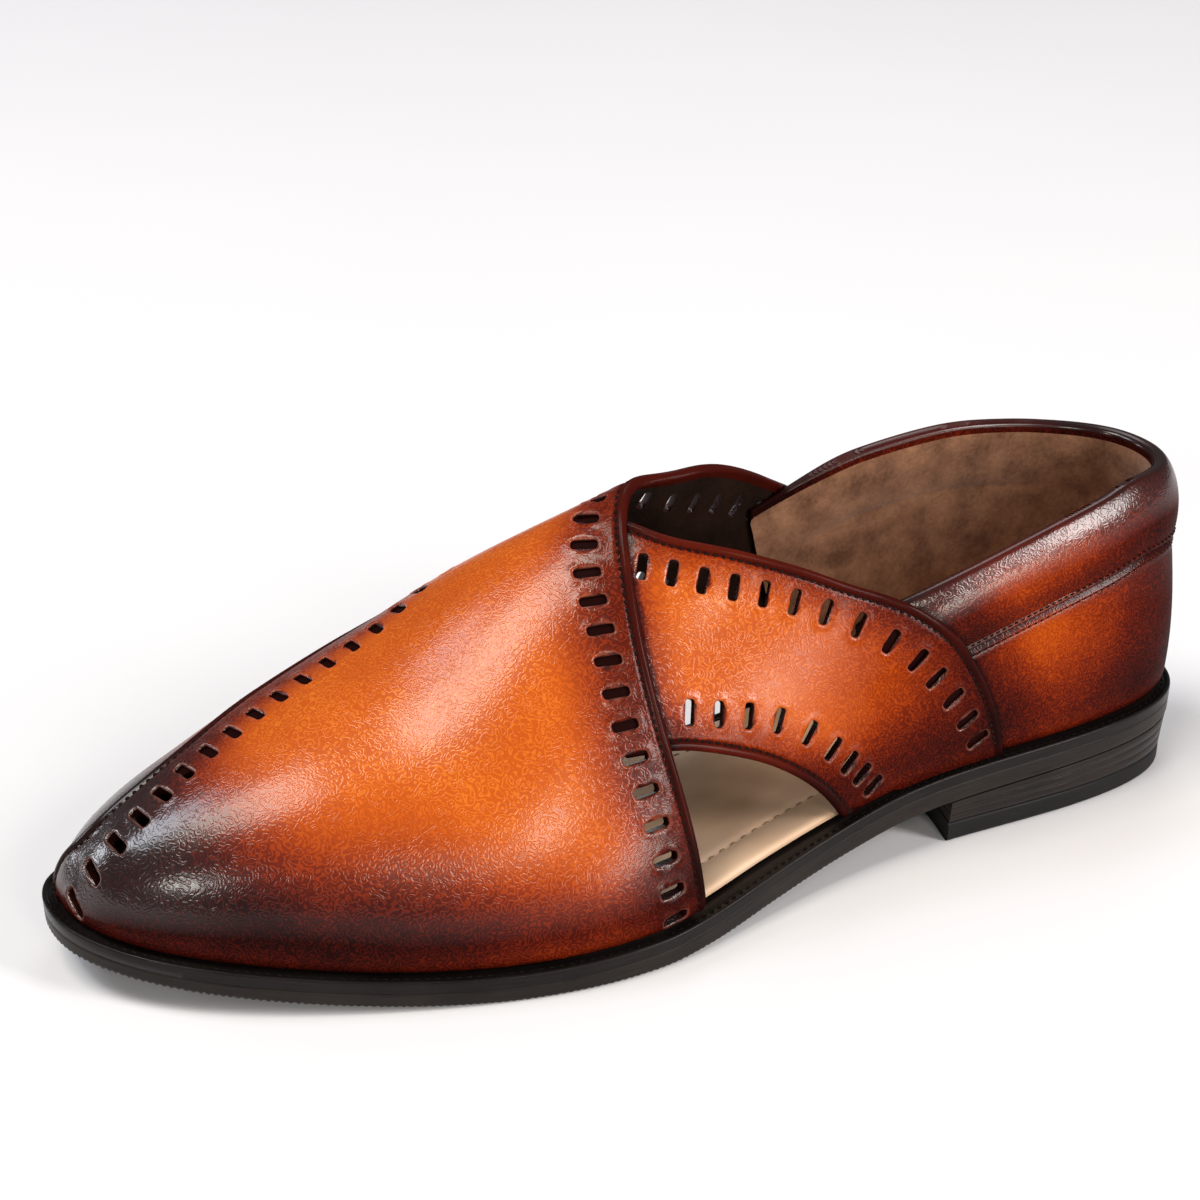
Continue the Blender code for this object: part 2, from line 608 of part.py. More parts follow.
def insole_mesh():
    step = WELT_WIDTH + GAP
    rest = above(sole_top, GAP)
    return plate([(step, above(sole_top, -WELT)), (step, rest), (above(feather_inset, 0.4), rest),
                  (above(feather_inset, 2.0), above(sole_top, INSOLE))])


def heel_stack_mesh():
    low = flat(TOP_PIECE + GAP)
    return block([(1.3, low), (0.5, above(underside, -GAP))])


def heel_cap_mesh():
    return block([(2.2, flat(0.0)), (1.4, flat(0.8)), (1.4, flat(TOP_PIECE - 0.4)), (1.8, flat(TOP_PIECE))])


PIECES = {"upper": upper_mesh, "insole": insole_mesh, "welt": welt_mesh, "outsole": outsole_mesh,
          "heel_stack": heel_stack_mesh, "heel_cap": heel_cap_mesh}
SMOOTH_BELOW = 0.7          # radians between faces that shade as one surface


# ---- into the scene ----
def material(name):
    made = bpy.data.materials.new(name + "_material")
    made.use_nodes = True
    shader = made.node_tree.nodes["Principled BSDF"]
    shader.inputs["Base Color"].default_value = (*COLOURS[name], 1.0)
    shader.inputs["Roughness"].default_value = ROUGHNESS[name]
    return made


def add_piece(name, points, faces, collection):
    mesh = bpy.data.meshes.new(name)
    mesh.from_pydata((points * MM).tolist(), [], faces)
    work = bmesh.new()
    work.from_mesh(mesh)
    bmesh.ops.triangulate(work, faces=work.faces[:])
    bmesh.ops.recalc_face_normals(work, faces=work.faces[:])
    work.to_mesh(mesh)
    work.free()
    mesh.polygons.foreach_set("use_smooth", [True] * len(mesh.polygons))
    mesh.set_sharp_from_angle(angle=SMOOTH_BELOW)
    mesh.materials.append(material(name))
    collection.objects.link(bpy.data.objects.new(name, mesh))


def main():
    for old in list(bpy.data.objects):
        bpy.data.objects.remove(old, do_unlink=True)
    collection = bpy.data.collections.new("peshawari_chappal")
    bpy.context.scene.collection.children.link(collection)
    made = {name: build() for name, build in PIECES.items()}
    every = np.concatenate([points for points, _ in made.values()])
    middle = (every.min(0) + every.max(0)) / 2
    middle[2] = 0.0
    for name, (points, faces) in made.items():
        add_piece(name, points - middle, faces, collection)


if __name__ == "__main__":
    main()
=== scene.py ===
"""Looks of a left peshawari chappal: two slotted leather panels crossing over the instep, a
padded quarter, and a welted sole with a low stacked heel.

Lengths are millimetres in the shoe's own layout: x from the back of the heel to the toe, y from
the heel's centre line to the outer side, z from the floor.  to_frame() turns them into metres in
the frame.  A spot on the last is (angle, w): the angle runs from 0 at the heel to pi at the toe,
and w from 0 at the outer feather line over 1 at the ridge to 2 at the inner feather line.
"""

from functools import partial
from math import cos, pi, radians, sin
from types import SimpleNamespace

import bpy
import numpy as np
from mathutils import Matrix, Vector
from mathutils.geometry import delaunay_2d_cdt
from mathutils.kdtree import KDTree


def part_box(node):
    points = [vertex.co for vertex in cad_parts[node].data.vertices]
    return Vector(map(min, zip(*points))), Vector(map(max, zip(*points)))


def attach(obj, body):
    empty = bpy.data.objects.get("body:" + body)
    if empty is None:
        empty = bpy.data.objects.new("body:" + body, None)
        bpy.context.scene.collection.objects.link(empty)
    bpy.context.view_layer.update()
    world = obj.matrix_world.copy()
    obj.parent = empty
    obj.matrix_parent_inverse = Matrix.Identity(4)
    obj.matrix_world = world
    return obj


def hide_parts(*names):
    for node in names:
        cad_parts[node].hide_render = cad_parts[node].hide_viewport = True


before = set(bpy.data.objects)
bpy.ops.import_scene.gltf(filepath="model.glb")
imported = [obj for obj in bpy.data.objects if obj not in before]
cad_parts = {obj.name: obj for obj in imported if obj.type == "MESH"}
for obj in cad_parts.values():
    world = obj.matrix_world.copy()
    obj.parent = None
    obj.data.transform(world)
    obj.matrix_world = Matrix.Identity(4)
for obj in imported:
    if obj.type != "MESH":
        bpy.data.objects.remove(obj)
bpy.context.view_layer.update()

MM = 0.001

# ---- the shoe's driving dimensions, as in the frame's solids ----
LENGTH = 302.0
HEEL_BREAST = 81.0
TOP_PIECE = 5.5
WELT = 3.0
GAP = 0.3
UPPER_INSET_HEEL = 4.2
UPPER_INSET_BALL = 6.0
WELT_WIDTH = 11.0
HEEL_FAN, HEEL_FAN_POWER = 33.0, 10  # the ridge ends this far before the heel, and how abruptly
TOE_FAN, TOE_FAN_POWER = 12.0, 18
COLLAR_BAND = 20.0
COLLAR_PAD_OUT = 2.6
COLLAR_PAD_IN = 2.0
BREAST_HOLLOW = 3.0

OUTLINE = {
    "x":     (0, 3, 12, 28, 50, 78, 110, 140, 165, 190, 215, 240, 262, 280,
              293, 300, 302),
    "outer": (1, 15, 24.3, 29.8, 32.3, 33.2, 36.4, 44, 51.3, 52.8, 48.6, 41.3, 32.8, 23.6,
              13.3, 3, -7.5),
    "inner": (1, -12.5, -21.5, -27.8, -30.6, -30, -28, -29.5, -35, -43, -48, -47.5, -42,
              -34, -25, -16.5, -7.5),
}
UNDERSIDE = {
    "x": (0, 81, 95, 115, 135, 155, 170, 205, 222, 240, 258, 275, 290, 302),
    "z": (15.5, 12.4, 11, 7.3, 3.8, 1, 0, 0, 0.6, 2, 3.9, 6.2, 8.6, 10.9),
}
THICKNESS = {"x": (0, 81, 140, 200, 302), "t": (7.9, 8.4, 8.4, 7.3, 7.1)}
LAST = {
    "x":       (0, 40, 80, 110, 135, 155, 190, 217, 245, 270, 290, 302),
    "ridge_y": (1, 0, 0, -1, -2, -6, -10.5, -11.6, -7.2, -4, -3.6, -7.5),
    "ridge_z": (124, 124, 121, 112, 100.5, 92.1, 76.3, 61.5, 52.1, 43.8, 35, 27.7),
    "swell":   (2.5, 4, 4, 3, 3, 3, 4, 4, 4, 3, 1, -1),
    "rise":    (38, 38, 38, 34, 27, 24, 24, 22, 19, 15, 9, 3.5),
    "crown":   (24, 24, 24, 20, 15, 18, 24.5, 28.5, 26.5, 19, 13, 4),
    "drop":    (18, 18, 18, 10, 1, 0, 0, 0, 0, 0, 1, 3),
}

# ---- the panels' edges on the last, as x and w ----
OVER_COLLAR_EDGE = {
    "x": (156, 159.1, 161.2, 161.3, 159, 155.6, 150.7, 143, 130, 117, 104, 89, 75, 64,
          57),
    "w": (-0.04, 0.274, 0.447, 0.60, 0.761, 0.899, 1.021, 1.13, 1.22, 1.32, 1.43, 1.56, 1.70, 1.86, 2.04),
}
OVER_TOE_EDGE = {
    "x": (301.4, 301, 299.3, 295.1, 285.1, 273, 260.2, 247.2, 234, 221.5, 209.5, 197, 182, 165,
          149, 135, 122, 110),
    "w": (2.04, 1.70, 1.38, 1.21, 1.155, 1.165, 1.195, 1.221, 1.237, 1.25, 1.286, 1.35, 1.44, 1.53,
          1.61, 1.71, 1.84, 2.04),
}
STRAP_COLLAR_EDGE = {
    "x": (168, 158.6, 150.5, 140.3, 129.4, 118.3, 107, 94.5, 82, 73, 64),
    "w": (1.03, 0.938, 0.822, 0.735, 0.657, 0.585, 0.511, 0.435, 0.322, 0.188, -0.04),
}
STRAP_LOWER_EDGE = {
    "x": (171.6, 158.8, 143.5, 130, 119, 110.5),
    "w": (0.42, 0.389, 0.315, 0.218, 0.099, -0.04),
}
UNDER_REAR_EDGE = {"x": (156, 159, 162, 165), "w": (2.04, 1.75, 1.58, 1.45)}
QUARTER_TOP = {  # on each side: 1 outer, -1 inner
    1: {"x": (0, 19, 33, 56, 76, 96, 108),
        "w": (0.545, 0.55, 0.53, 0.495, 0.465, 0.44, 0.43)},
    -1: {"x": (0, 19, 33, 56, 79, 104, 114),
         "w": (1.455, 1.435, 1.42, 1.405, 1.41, 1.445, 1.46)},
}
QUARTER_FRONT = 92.0

# ---- rows of slots: the middle of the n-th one ----
COLLAR_SLOTS = {
    "n": (0, 3, 6, 9, 12, 14, 17, 20, 23, 26, 30),
    "x": (166, 168.6, 171.1, 170.4, 166.8, 158.6, 137.5, 117.3, 99.6, 83.9, 69.4),
    "w": (0.04, 0.278, 0.481, 0.674, 0.884, 1.06, 1.29, 1.426, 1.575, 1.729, 1.96),
}
TOE_SLOTS = {
    "n": (0, 1, 2, 3, 5, 7, 10, 13, 16, 19, 22, 25, 28, 31),
    "x": (299.3, 295.6, 290.2, 283.8, 270.2, 255.8, 234.8, 213.4, 192.5, 170.4, 149.8, 131.1, 116.4, 105.7),
    "w": (0.281, 0.63, 0.808, 0.886, 0.987, 1.028, 1.062, 1.083, 1.203, 1.353, 1.469, 1.605, 1.772, 1.962),
}
STRAP_COLLAR_SLOTS = {
    "n": (0, 2, 4, 6, 8, 10, 12, 13),
    "x": (156.3, 143.4, 129.6, 115.3, 100.1, 88.2, 78.6, 74.8),
    "w": (0.757, 0.663, 0.574, 0.485, 0.372, 0.252, 0.126, 0.067),
}
STRAP_LOWER_SLOTS = {
    "n": (0, 2, 3, 4, 5, 7, 8),
    "x": (153.7, 138.6, 130.8, 123, 116.9, 108.7, 105.2),
    "w": (0.443, 0.373, 0.329, 0.269, 0.205, 0.107, 0.06),
}
SLOT_LENGTH = 6.3
SLOT_WIDTH = 2.2
SLOT_CORNER = 0.75
CORNER_POINTS = 6  # round each corner of a slot

# ---- the fine forms; a relief is given as humps, each with its height, middle and width ----
SPACING = 1.3  # between points of the leather's surface
EDGE_RADIUS = 0.8  # of a folded leather edge
SLOT_RADIUS = 0.45  # of a slot's rim
SEAM_INSET = 2.4  # stitches from a folded edge
EDGE_RELIEF = ((0.34, 1.15, 0.8), (-0.36, SEAM_INSET, 0.38))  # thick fold, and groove of the seam
SLOT_RELIEF = ((0.16, 0.7, 0.33),)
PADDING_END = (84.0, 112.0)  # stations between which the collar's padding thins out
COLLAR_SEAM = 20.3  # middle of the collar's twin ridge, below the top edge
COLLAR_RELIEF = ((0.42, 19.2, 0.5), (0.42, 21.4, 0.5), (-0.25, COLLAR_SEAM, 0.4), (-0.2, 18.3, 0.35),
                 (-0.2, 22.3, 0.35))
COLLAR_SEAM_ROWS = (18.7, 21.9)
PANEL_STITCH = (2.0, 1.5, 0.40)  # pitch of a seam, and length and radius of its stitches
COLLAR_STITCH = (1.9, 1.45, 0.22)
WELT_STITCH = (2.4, 1.9, 0.24)
INSOLE_STITCH = (3.6, 2.5, 0.3)
OUTSOLE_STITCH = (3.2, 2.3, 0.3)
TUCK = 1.5  # the leather curls in by this where it meets the welt
TUCK_HEIGHT = 4.5
TURNED_IN = 2.3  # width of the leather turned over an edge to the inside
LEAST_WALL = 0.25
ON_RIM = 0.03  # nearer than this is the rim itself
QUARTER_LEVEL = 1.9  # of a panel's inner face where it passes over the quarter
UNDER_PANEL_LEVEL = 2.9

# ---- the leather's finish ----
LEATHER_TONES = (  # from a ridge of the grain, lightened partly by a painted highlight, over bare dyed leather to fully darkened by burnish and painted shade
    (0.0, (0.72, 0.190, 0.017)), (0.2, (0.52, 0.088, 0.004)), (0.36, (0.40, 0.060, 0.0035)),
    (0.52, (0.27, 0.031, 0.0028)), (0.68, (0.13, 0.012, 0.0025)), (0.84, (0.050, 0.0043, 0.0022)),
    (1.0, (0.012, 0.0022, 0.0019)),
)
BARE_TONE = 0.2  # where bare leather lies on that scale
GRAIN_LIGHTER = 0.15  # on that scale, at the top of the grain's ridges: partly dye, partly a painted highlight
GRAIN_MIDDLE = 0.055  # how much that is on average
RELIEF_DEPTH = 0.000027  # of the grain, in metres
COARSE_GRAIN, FINE_GRAIN = (560.0, 27.0), (1300.0, 5.0)  # scale of the noise, and its share
GRAIN_POWER = 2.2  # narrows the ridges
# Lighter slot rims: partly the raw cut edge's colour, partly a painted highlight on the rounded lip.
SLOT_RIM_EDGE_AND_HIGHLIGHT = (0.42, 0.17, 0.12, 1)
HEEL_DARK, HEEL_CLEAR, HEEL_SHADE = 8.0, 62.0, 0.85  # stations, and the share of light lost
TOE_CLEAR, TOE_DARK = 243.0, 287.0
STRAP_DARK, STRAP_CLEAR, STRAP_SHADE = 86.0, 136.0, 0.58
MIRROR_START, MIRROR_FULL, PLAIN_GLOSS = 258.0, 284.0, 0.52
COLLAR_LIGHT = 0.74
# Painted shade on the underside of the collar's padded roll and along the seam below it, darkest in the
# seam's groove: the share of light lost, and the middle and width of each band below the top edge.
COLLAR_SHADES = ((0.35, COLLAR_SEAM, 2.6), (0.40, 16.0, 3.2), (0.80, COLLAR_SEAM, 0.6))


# ---------------- curves through tables ----------------
def steady(xs, ys, x):
    """Cubic through the points that never swings past them."""
    xs, ys, x = (np.asarray(v, float) for v in (xs, ys, x))
    step = np.diff(xs)
    slope = np.diff(ys) / step
    tangent = np.zeros_like(ys)
    same = slope[:-1] * slope[1:] > 0
    before, after = 2 * step[1:] + step[:-1], step[1:] + 2 * step[:-1]
    safe_a, safe_b = np.where(same, slope[:-1], 1.0), np.where(same, slope[1:], 1.0)
    tangent[1:-1] = np.where(same, (before + after) / (before / safe_a + after / safe_b), 0.0)
    tangent[0], tangent[-1] = slope[0], slope[-1]
    i = np.clip(np.searchsorted(xs, x) - 1, 0, len(xs) - 2)
    t = np.clip((x - xs[i]) / step[i], 0.0, 1.0)
    start = ys[i] * (1 + 2 * t) * (1 - t) ** 2 + tangent[i] * step[i] * t * (1 - t) ** 2
    end = ys[i + 1] * t * t * (3 - 2 * t) + tangent[i + 1] * step[i] * t * t * (t - 1)
    return start + end


def spline(xs, ys, x):
    """Natural cubic spline through the points."""
    xs, ys, x = (np.asarray(v, float) for v in (xs, ys, x))
    n, step = len(xs), np.diff(xs)
    rows, right = np.eye(n), np.zeros(n)
    for i in range(1, n - 1):
        rows[i, i - 1:i + 2] = step[i - 1], 2 * (step[i - 1] + step[i]), step[i]
        right[i] = 3 * ((ys[i + 1] - ys[i]) / step[i] - (ys[i] - ys[i - 1]) / step[i - 1])
    second = np.linalg.solve(rows, right)
    i = np.clip(np.searchsorted(xs, x) - 1, 0, n - 2)
    t = x - xs[i]
    first = (ys[i + 1] - ys[i]) / step[i] - step[i] * (2 * second[i] + second[i + 1]) / 3
    return ys[i] + first * t + second[i] * t * t + (second[i + 1] - second[i]) / (3 * step[i]) * t ** 3


W_PER_MM = 0.012  # roughly, over most of the last


def run(points):
    """Rough real length along a line of (x, w) points, at each of them."""
    return np.r_[0, np.cumsum(np.hypot(*(np.diff(points, axis=0) / (1.0, W_PER_MM)).T))]


def smooth_line(xs, ys, count):
    """A smooth curve through points of x and w, read at even steps of its length."""
    points = np.stack([xs, ys], 1).astype(float)
    chord = run(points)
    fine = np.linspace(0, chord[-1], 20 * len(xs))
    curve = np.stack([spline(chord, points[:, k], fine) for k in (0, 1)], 1)
    length = run(curve)
    return read_at(np.linspace(0, length[-1], count), length, curve)


def smoothstep(low, high, value):
    t = np.clip((np.asarray(value, float) - low) / (high - low), 0, 1)
    return t * t * (3 - 2 * t)


def fade(low, high, value):
    """1 up to the low value, 0 from the high one on, smooth between."""
    return 1 - smoothstep(low, high, value)


def hump(value, middle, width):
    return np.exp(-((value - middle) / width) ** 2)


def relief(value, humps):
    return sum(height * hump(value, middle, width) for height, middle, width in humps)


def unit(vectors):
    return vectors / np.linalg.norm(vectors, axis=-1, keepdims=True)


def read_at(places, length, table):
    """Rows of the table, read at places along their length."""
    return np.stack([np.interp(places, length, column) for column in table.T], 1)


def real_length(points):
    """Length along a line of points, at each of them."""
    return np.r_[0, np.cumsum(np.linalg.norm(np.diff(points, axis=0), axis=1))]


# ---------------- the sole's outline and the last ----------------
def turn(x):
    """Angle round the outline of a length station: 0 at the heel, pi at the toe."""
    return np.arccos(np.clip(1 - 2 * np.asarray(x, float) / LENGTH, -1, 1))


def station(angle):
    return LENGTH * (1 - np.cos(angle)) / 2


def outline(angle, side, inset=0.0):
    """Plan point of the sole's edge, moved in by inset; side is 1 outer, -1 inner."""
    column = OUTLINE["outer" if side > 0 else "inner"]
    angle = np.asarray(angle, float)
    small = 1e-3
    spots = [np.stack([station(a), spline(turn(OUTLINE["x"]), column, a)], -1)
             for a in (angle - small, angle, angle + small)]
    along = unit(spots[2] - spots[0])
    out = side * np.stack([-along[..., 1], along[..., 0]], -1)
    out[angle < small] = (-1.0, 0.0)
    out[angle > pi - small] = (1.0, 0.0)
    return spots[1] - out * np.asarray(inset)[..., None]


def underside(x):
    return steady(UNDERSIDE["x"], UNDERSIDE["z"], x)


def sole_top(x):
    return underside(x) + steady(THICKNESS["x"], THICKNESS["t"], x)


def feather_inset(x):
    blend = steady((0.0, 80.0, 150.0, LENGTH), (0.0, 0.0, 1.0, 1.0), x)
    return UPPER_INSET_HEEL + (UPPER_INSET_BALL - UPPER_INSET_HEEL) * blend


def of_last(column, x):
    return steady(LAST["x"], LAST[column], x)


def half_section(angle, w, side):
    """Point of the last between the feather line (w 0) and the ridge (w 1) of one side."""
    x = station(angle)
    plan = outline(angle, side, feather_inset(x))
    feather = np.concatenate([plan, (sole_top(plan[..., 0]) + GAP)[..., None]], -1)
    ridge_x = x + HEEL_FAN * np.cos(angle / 2) ** HEEL_FAN_POWER
    ridge_x -= TOE_FAN * np.sin(angle / 2) ** TOE_FAN_POWER
    ridge = np.stack([ridge_x, of_last("ridge_y", x), of_last("ridge_z", x)], -1)
    aside = unit(feather[..., :2] - ridge[..., :2])
    low, high = feather.copy(), ridge.copy()
    low[..., :2] += aside * of_last("swell", x)[..., None]
    low[..., 2] += of_last("rise", x)
    high[..., :2] += aside * of_last("crown", x)[..., None]
    high[..., 2] -= of_last("drop", x)
    w = w[..., None]
    return feather * (1 - w) ** 3 + 3 * low * w * (1 - w) ** 2 + 3 * high * w * w * (1 - w) + ridge * w ** 3


def last_point(angle, w):
    angle, w = np.broadcast_arrays(np.asarray(angle, float), np.asarray(w, float))
    outer = half_section(angle, np.clip(w, 0, 1), 1)
    inner = half_section(angle, np.clip(2 - w, 0, 1), -1)
    return np.where((w <= 1)[..., None], outer, inner)


def slopes(angle, w):
    """How the last's point moves with the angle and with w."""
    small = 2e-3
    angle = np.clip(angle, small, pi - small)
    w = np.clip(w, small, 2 - small)
    by_angle = (last_point(angle + small, w) - last_point(angle - small, w)) / (2 * small)
    by_w = (last_point(angle, w + small) - last_point(angle, w - small)) / (2 * small)
    return by_angle, by_w


# ---------------- lines on the last ----------------
def real(spots):
    return last_point(spots[:, 0], spots[:, 1])


def last_normal(spots):
    by_angle, by_w = slopes(spots[:, 0], spots[:, 1])
    normal = np.cross(by_w, by_angle)
    ends = (spots[:, 0] < 1e-6) | (spots[:, 0] > pi - 1e-6)
    normal[ends, 1] = 0.0
    return unit(normal)


def edge(table, count=60):
    line = smooth_line(table["x"], table["w"], count)
    return np.stack([turn(np.clip(line[:, 0], 0, LENGTH)), line[:, 1]], 1)


MOVE_ROUNDS = 4
DAMPING = 0.001  # keeps a move steady where the last is nearly folded


def moved(spots, along, across, by_along, by_across):
    """Spots moved on the surface by real distances along and across a direction."""
    target = real(spots) + along * by_along + across * by_across
    for _ in range(MOVE_ROUNDS):
        by_angle, by_w = slopes(spots[:, 0], spots[:, 1])
        rest = target - real(spots)
        aa, ww, aw = (by_angle ** 2).sum(1), (by_w ** 2).sum(1), (by_angle * by_w).sum(1)
        aa, ww = aa + DAMPING * (aa + ww), ww + DAMPING * (aa + ww)
        ra, rw = (by_angle * rest).sum(1), (by_w * rest).sum(1)
        spots = spots + np.stack([ra * ww - rw * aw, rw * aa - ra * aw], 1) / (aa * ww - aw * aw)[:, None]
        past = spots[:, 0] > pi
        spots[past] = (2 * pi, 2) - spots[past]
    return spots


def shifted(line, distance):
    """The line moved sideways on the surface, to its left for a positive distance."""
    along = unit(np.gradient(real(line), axis=0))
    return moved(line, along, np.cross(last_normal(line), along), 0.0, distance)


def on_last(line):
    """The part of a line that lies above the feather line."""
    return line[(line[:, 1] > 0.01) & (line[:, 1] < 1.99)]


def slot_places(row):
    """Spot and directions of each slot of a row."""
    n = np.arange(row["n"][-1] + 1)
    here, ahead = (np.stack([turn(spline(row["n"], row["x"], n + step)),
                             spline(row["n"], row["w"], n + step)], 1) for step in (0.0, 0.01))
    along = unit(real(ahead) - real(here))
    return here, along, np.cross(last_normal(here), along)


def rounded_slot(grow):
    """Outline of a slot in its own plane, grown by a distance."""
    corner = SLOT_CORNER + grow
    wide, high = SLOT_WIDTH / 2 - SLOT_CORNER, SLOT_LENGTH / 2 - SLOT_CORNER
    return np.array([(right * wide + corner * cos(turned), up * high + corner * sin(turned))
                     for quarter, (right, up) in enumerate(((1, 1), (-1, 1), (-1, -1), (1, -1)))
                     for turned in np.linspace(quarter, quarter + 1, CORNER_POINTS) * pi / 2])


def slot_outlines(places, grow):
    """Outlines of a row's slots as arrays of spots, one for each slot."""
    spots, along, across = places
    local = rounded_slot(grow)
    count, size = len(spots), len(local)
    every = moved(np.repeat(spots, size, 0), np.repeat(along, size, 0), np.repeat(across, size, 0),
                  np.tile(local[:, :1], (count, 1)), np.tile(local[:, 1:], (count, 1)))
    return every.reshape(count, size, 2)


BATCH = 8000  # points handled at once, to spare memory


def inside(points, polygon):
    """Which points lie in the polygon."""
    found = np.zeros(len(points), bool)
    x0, y0 = polygon[:, 0], polygon[:, 1]
    x1, y1 = np.roll(x0, -1), np.roll(y0, -1)
    rise = np.where(y1 == y0, 1.0, y1 - y0)
    for start in range(0, len(points), BATCH):
        x, y = points[start:start + BATCH, :1], points[start:start + BATCH, 1:]
        crossed = ((y0 > y) != (y1 > y)) & (x < (x1 - x0) * (y - y0) / rise + x0)
        found[start:start + BATCH] = crossed.sum(1) % 2 == 1
    return found


def distance_to_line(points, line):
    """Least real distance from each point to a line of points."""
    best = np.full(len(points), np.inf)
    start, step = line[:-1], np.diff(line, axis=0)
    square = (step ** 2).sum(1) + 1e-12
    for first in range(0, len(points), BATCH):
        part = points[first:first + BATCH, None] - start
        t = np.clip((part * step).sum(2) / square, 0, 1)
        apart = np.linalg.norm(part - t[..., None] * step, axis=2)
        best[first:first + BATCH] = apart.min(1)
    return best


# ---------------- the panels ----------------
over_collar, over_toe = edge(OVER_COLLAR_EDGE, 200), edge(OVER_TOE_EDGE, 220)
strap_top, strap_low = edge(STRAP_COLLAR_EDGE, 120), edge(STRAP_LOWER_EDGE, 70)
under_rear = edge(UNDER_REAR_EDGE)

PAST = 0.2  # outlines reach this far past the ends of the last
TOE_END, INNER_END = pi + PAST, 2 + PAST
OVER = np.concatenate([over_collar, over_toe[::-1], [
    [over_toe[0, 0], INNER_END], [TOE_END, INNER_END], [TOE_END, -PAST], [over_collar[0, 0], -PAST]]])
UNDER_FRONT = ((turn(230.0), 0.9), (TOE_END, 1.2))  # hidden beneath the over-panel
UNDER = np.concatenate([strap_top, strap_low[::-1], [
    *UNDER_FRONT, (TOE_END, INNER_END), (under_rear[0, 0], INNER_END)], under_rear])


def quarter_outline(side):
    """The quarter's half on one side, from its top edge down past the feather line."""
    top, low = edge(QUARTER_TOP[side]), -PAST if side > 0 else INNER_END
    return np.concatenate([[[turn(QUARTER_FRONT), low], [-PAST, low], [-PAST, top[0, 1]]], top])


QUARTERS = [quarter_outline(side) for side in (1, -1)]
on_over = partial(inside, polygon=OVER)
on_under = partial(inside, polygon=UNDER)


def on_panels(spots):
    return on_over(spots) | on_under(spots)


def on_quarter(spots):
    return inside(spots, QUARTERS[0]) | inside(spots, QUARTERS[1])


def collar_top(angle, side):
    """The quarter's top edge on one side, and how many millimetres a step of w is there."""
    top = steady(QUARTER_TOP[side]["x"], QUARTER_TOP[side]["w"], station(angle))
    return top, np.linalg.norm(slopes(angle, top)[1], axis=-1)


def collar_depth(spots):
    """Real distance below the quarter's top edge."""
    angle, w = spots[:, 0], spots[:, 1]
    depths = []
    for side in (1, -1):
        top, per_w = collar_top(angle, side)
        depths.append(-side * (w - top) * per_w)
    return np.where(w < 1, *depths)


HEEL_TOP = QUARTER_TOP[1]["w"][0]
HEEL_PER_W = np.linalg.norm(slopes(0.0, HEEL_TOP)[1])


def collar_line(depth, side):
    """A line at an even depth below the quarter's top edge."""
    angle = np.linspace(0, turn(QUARTER_TOP[side]["x"][-1] - 2.0), 130)
    top, per_w = collar_top(angle, side)
    per_w[0] = HEEL_PER_W
    return np.stack([angle, top - side * depth / per_w], 1)


def drop_at_edge(distance, radius):
    """How far a face rounded with the radius lies below its level at a distance from its edge."""
    left = 1 - np.clip(distance / radius, 0, 1)
    return radius * (1 - np.sqrt(1 - left ** 2))


def slot_distance(rims, points):
    """Real distance to the nearest slot's rim, large where none is near."""
    distance = np.full(len(points), 50.0)
    for rim in rims:
        around = real(rim)
        near = np.linalg.norm(points - around.mean(0), axis=1) < SLOT_LENGTH
        if near.any():
            closed = np.concatenate([around, around[:1]])
            distance[near] = np.minimum(distance[near], distance_to_line(points[near], closed))
    return distance


def unevenness(points):
    """A slight, slow waviness, as hand-lasted leather has."""
    x, y, z = points.T
    return 0.10 * np.sin(x / 9.0 + 1.3 * np.sin(z / 13.0)) + 0.08 * np.sin(z / 7.0 + y / 11.0 + 0.7)


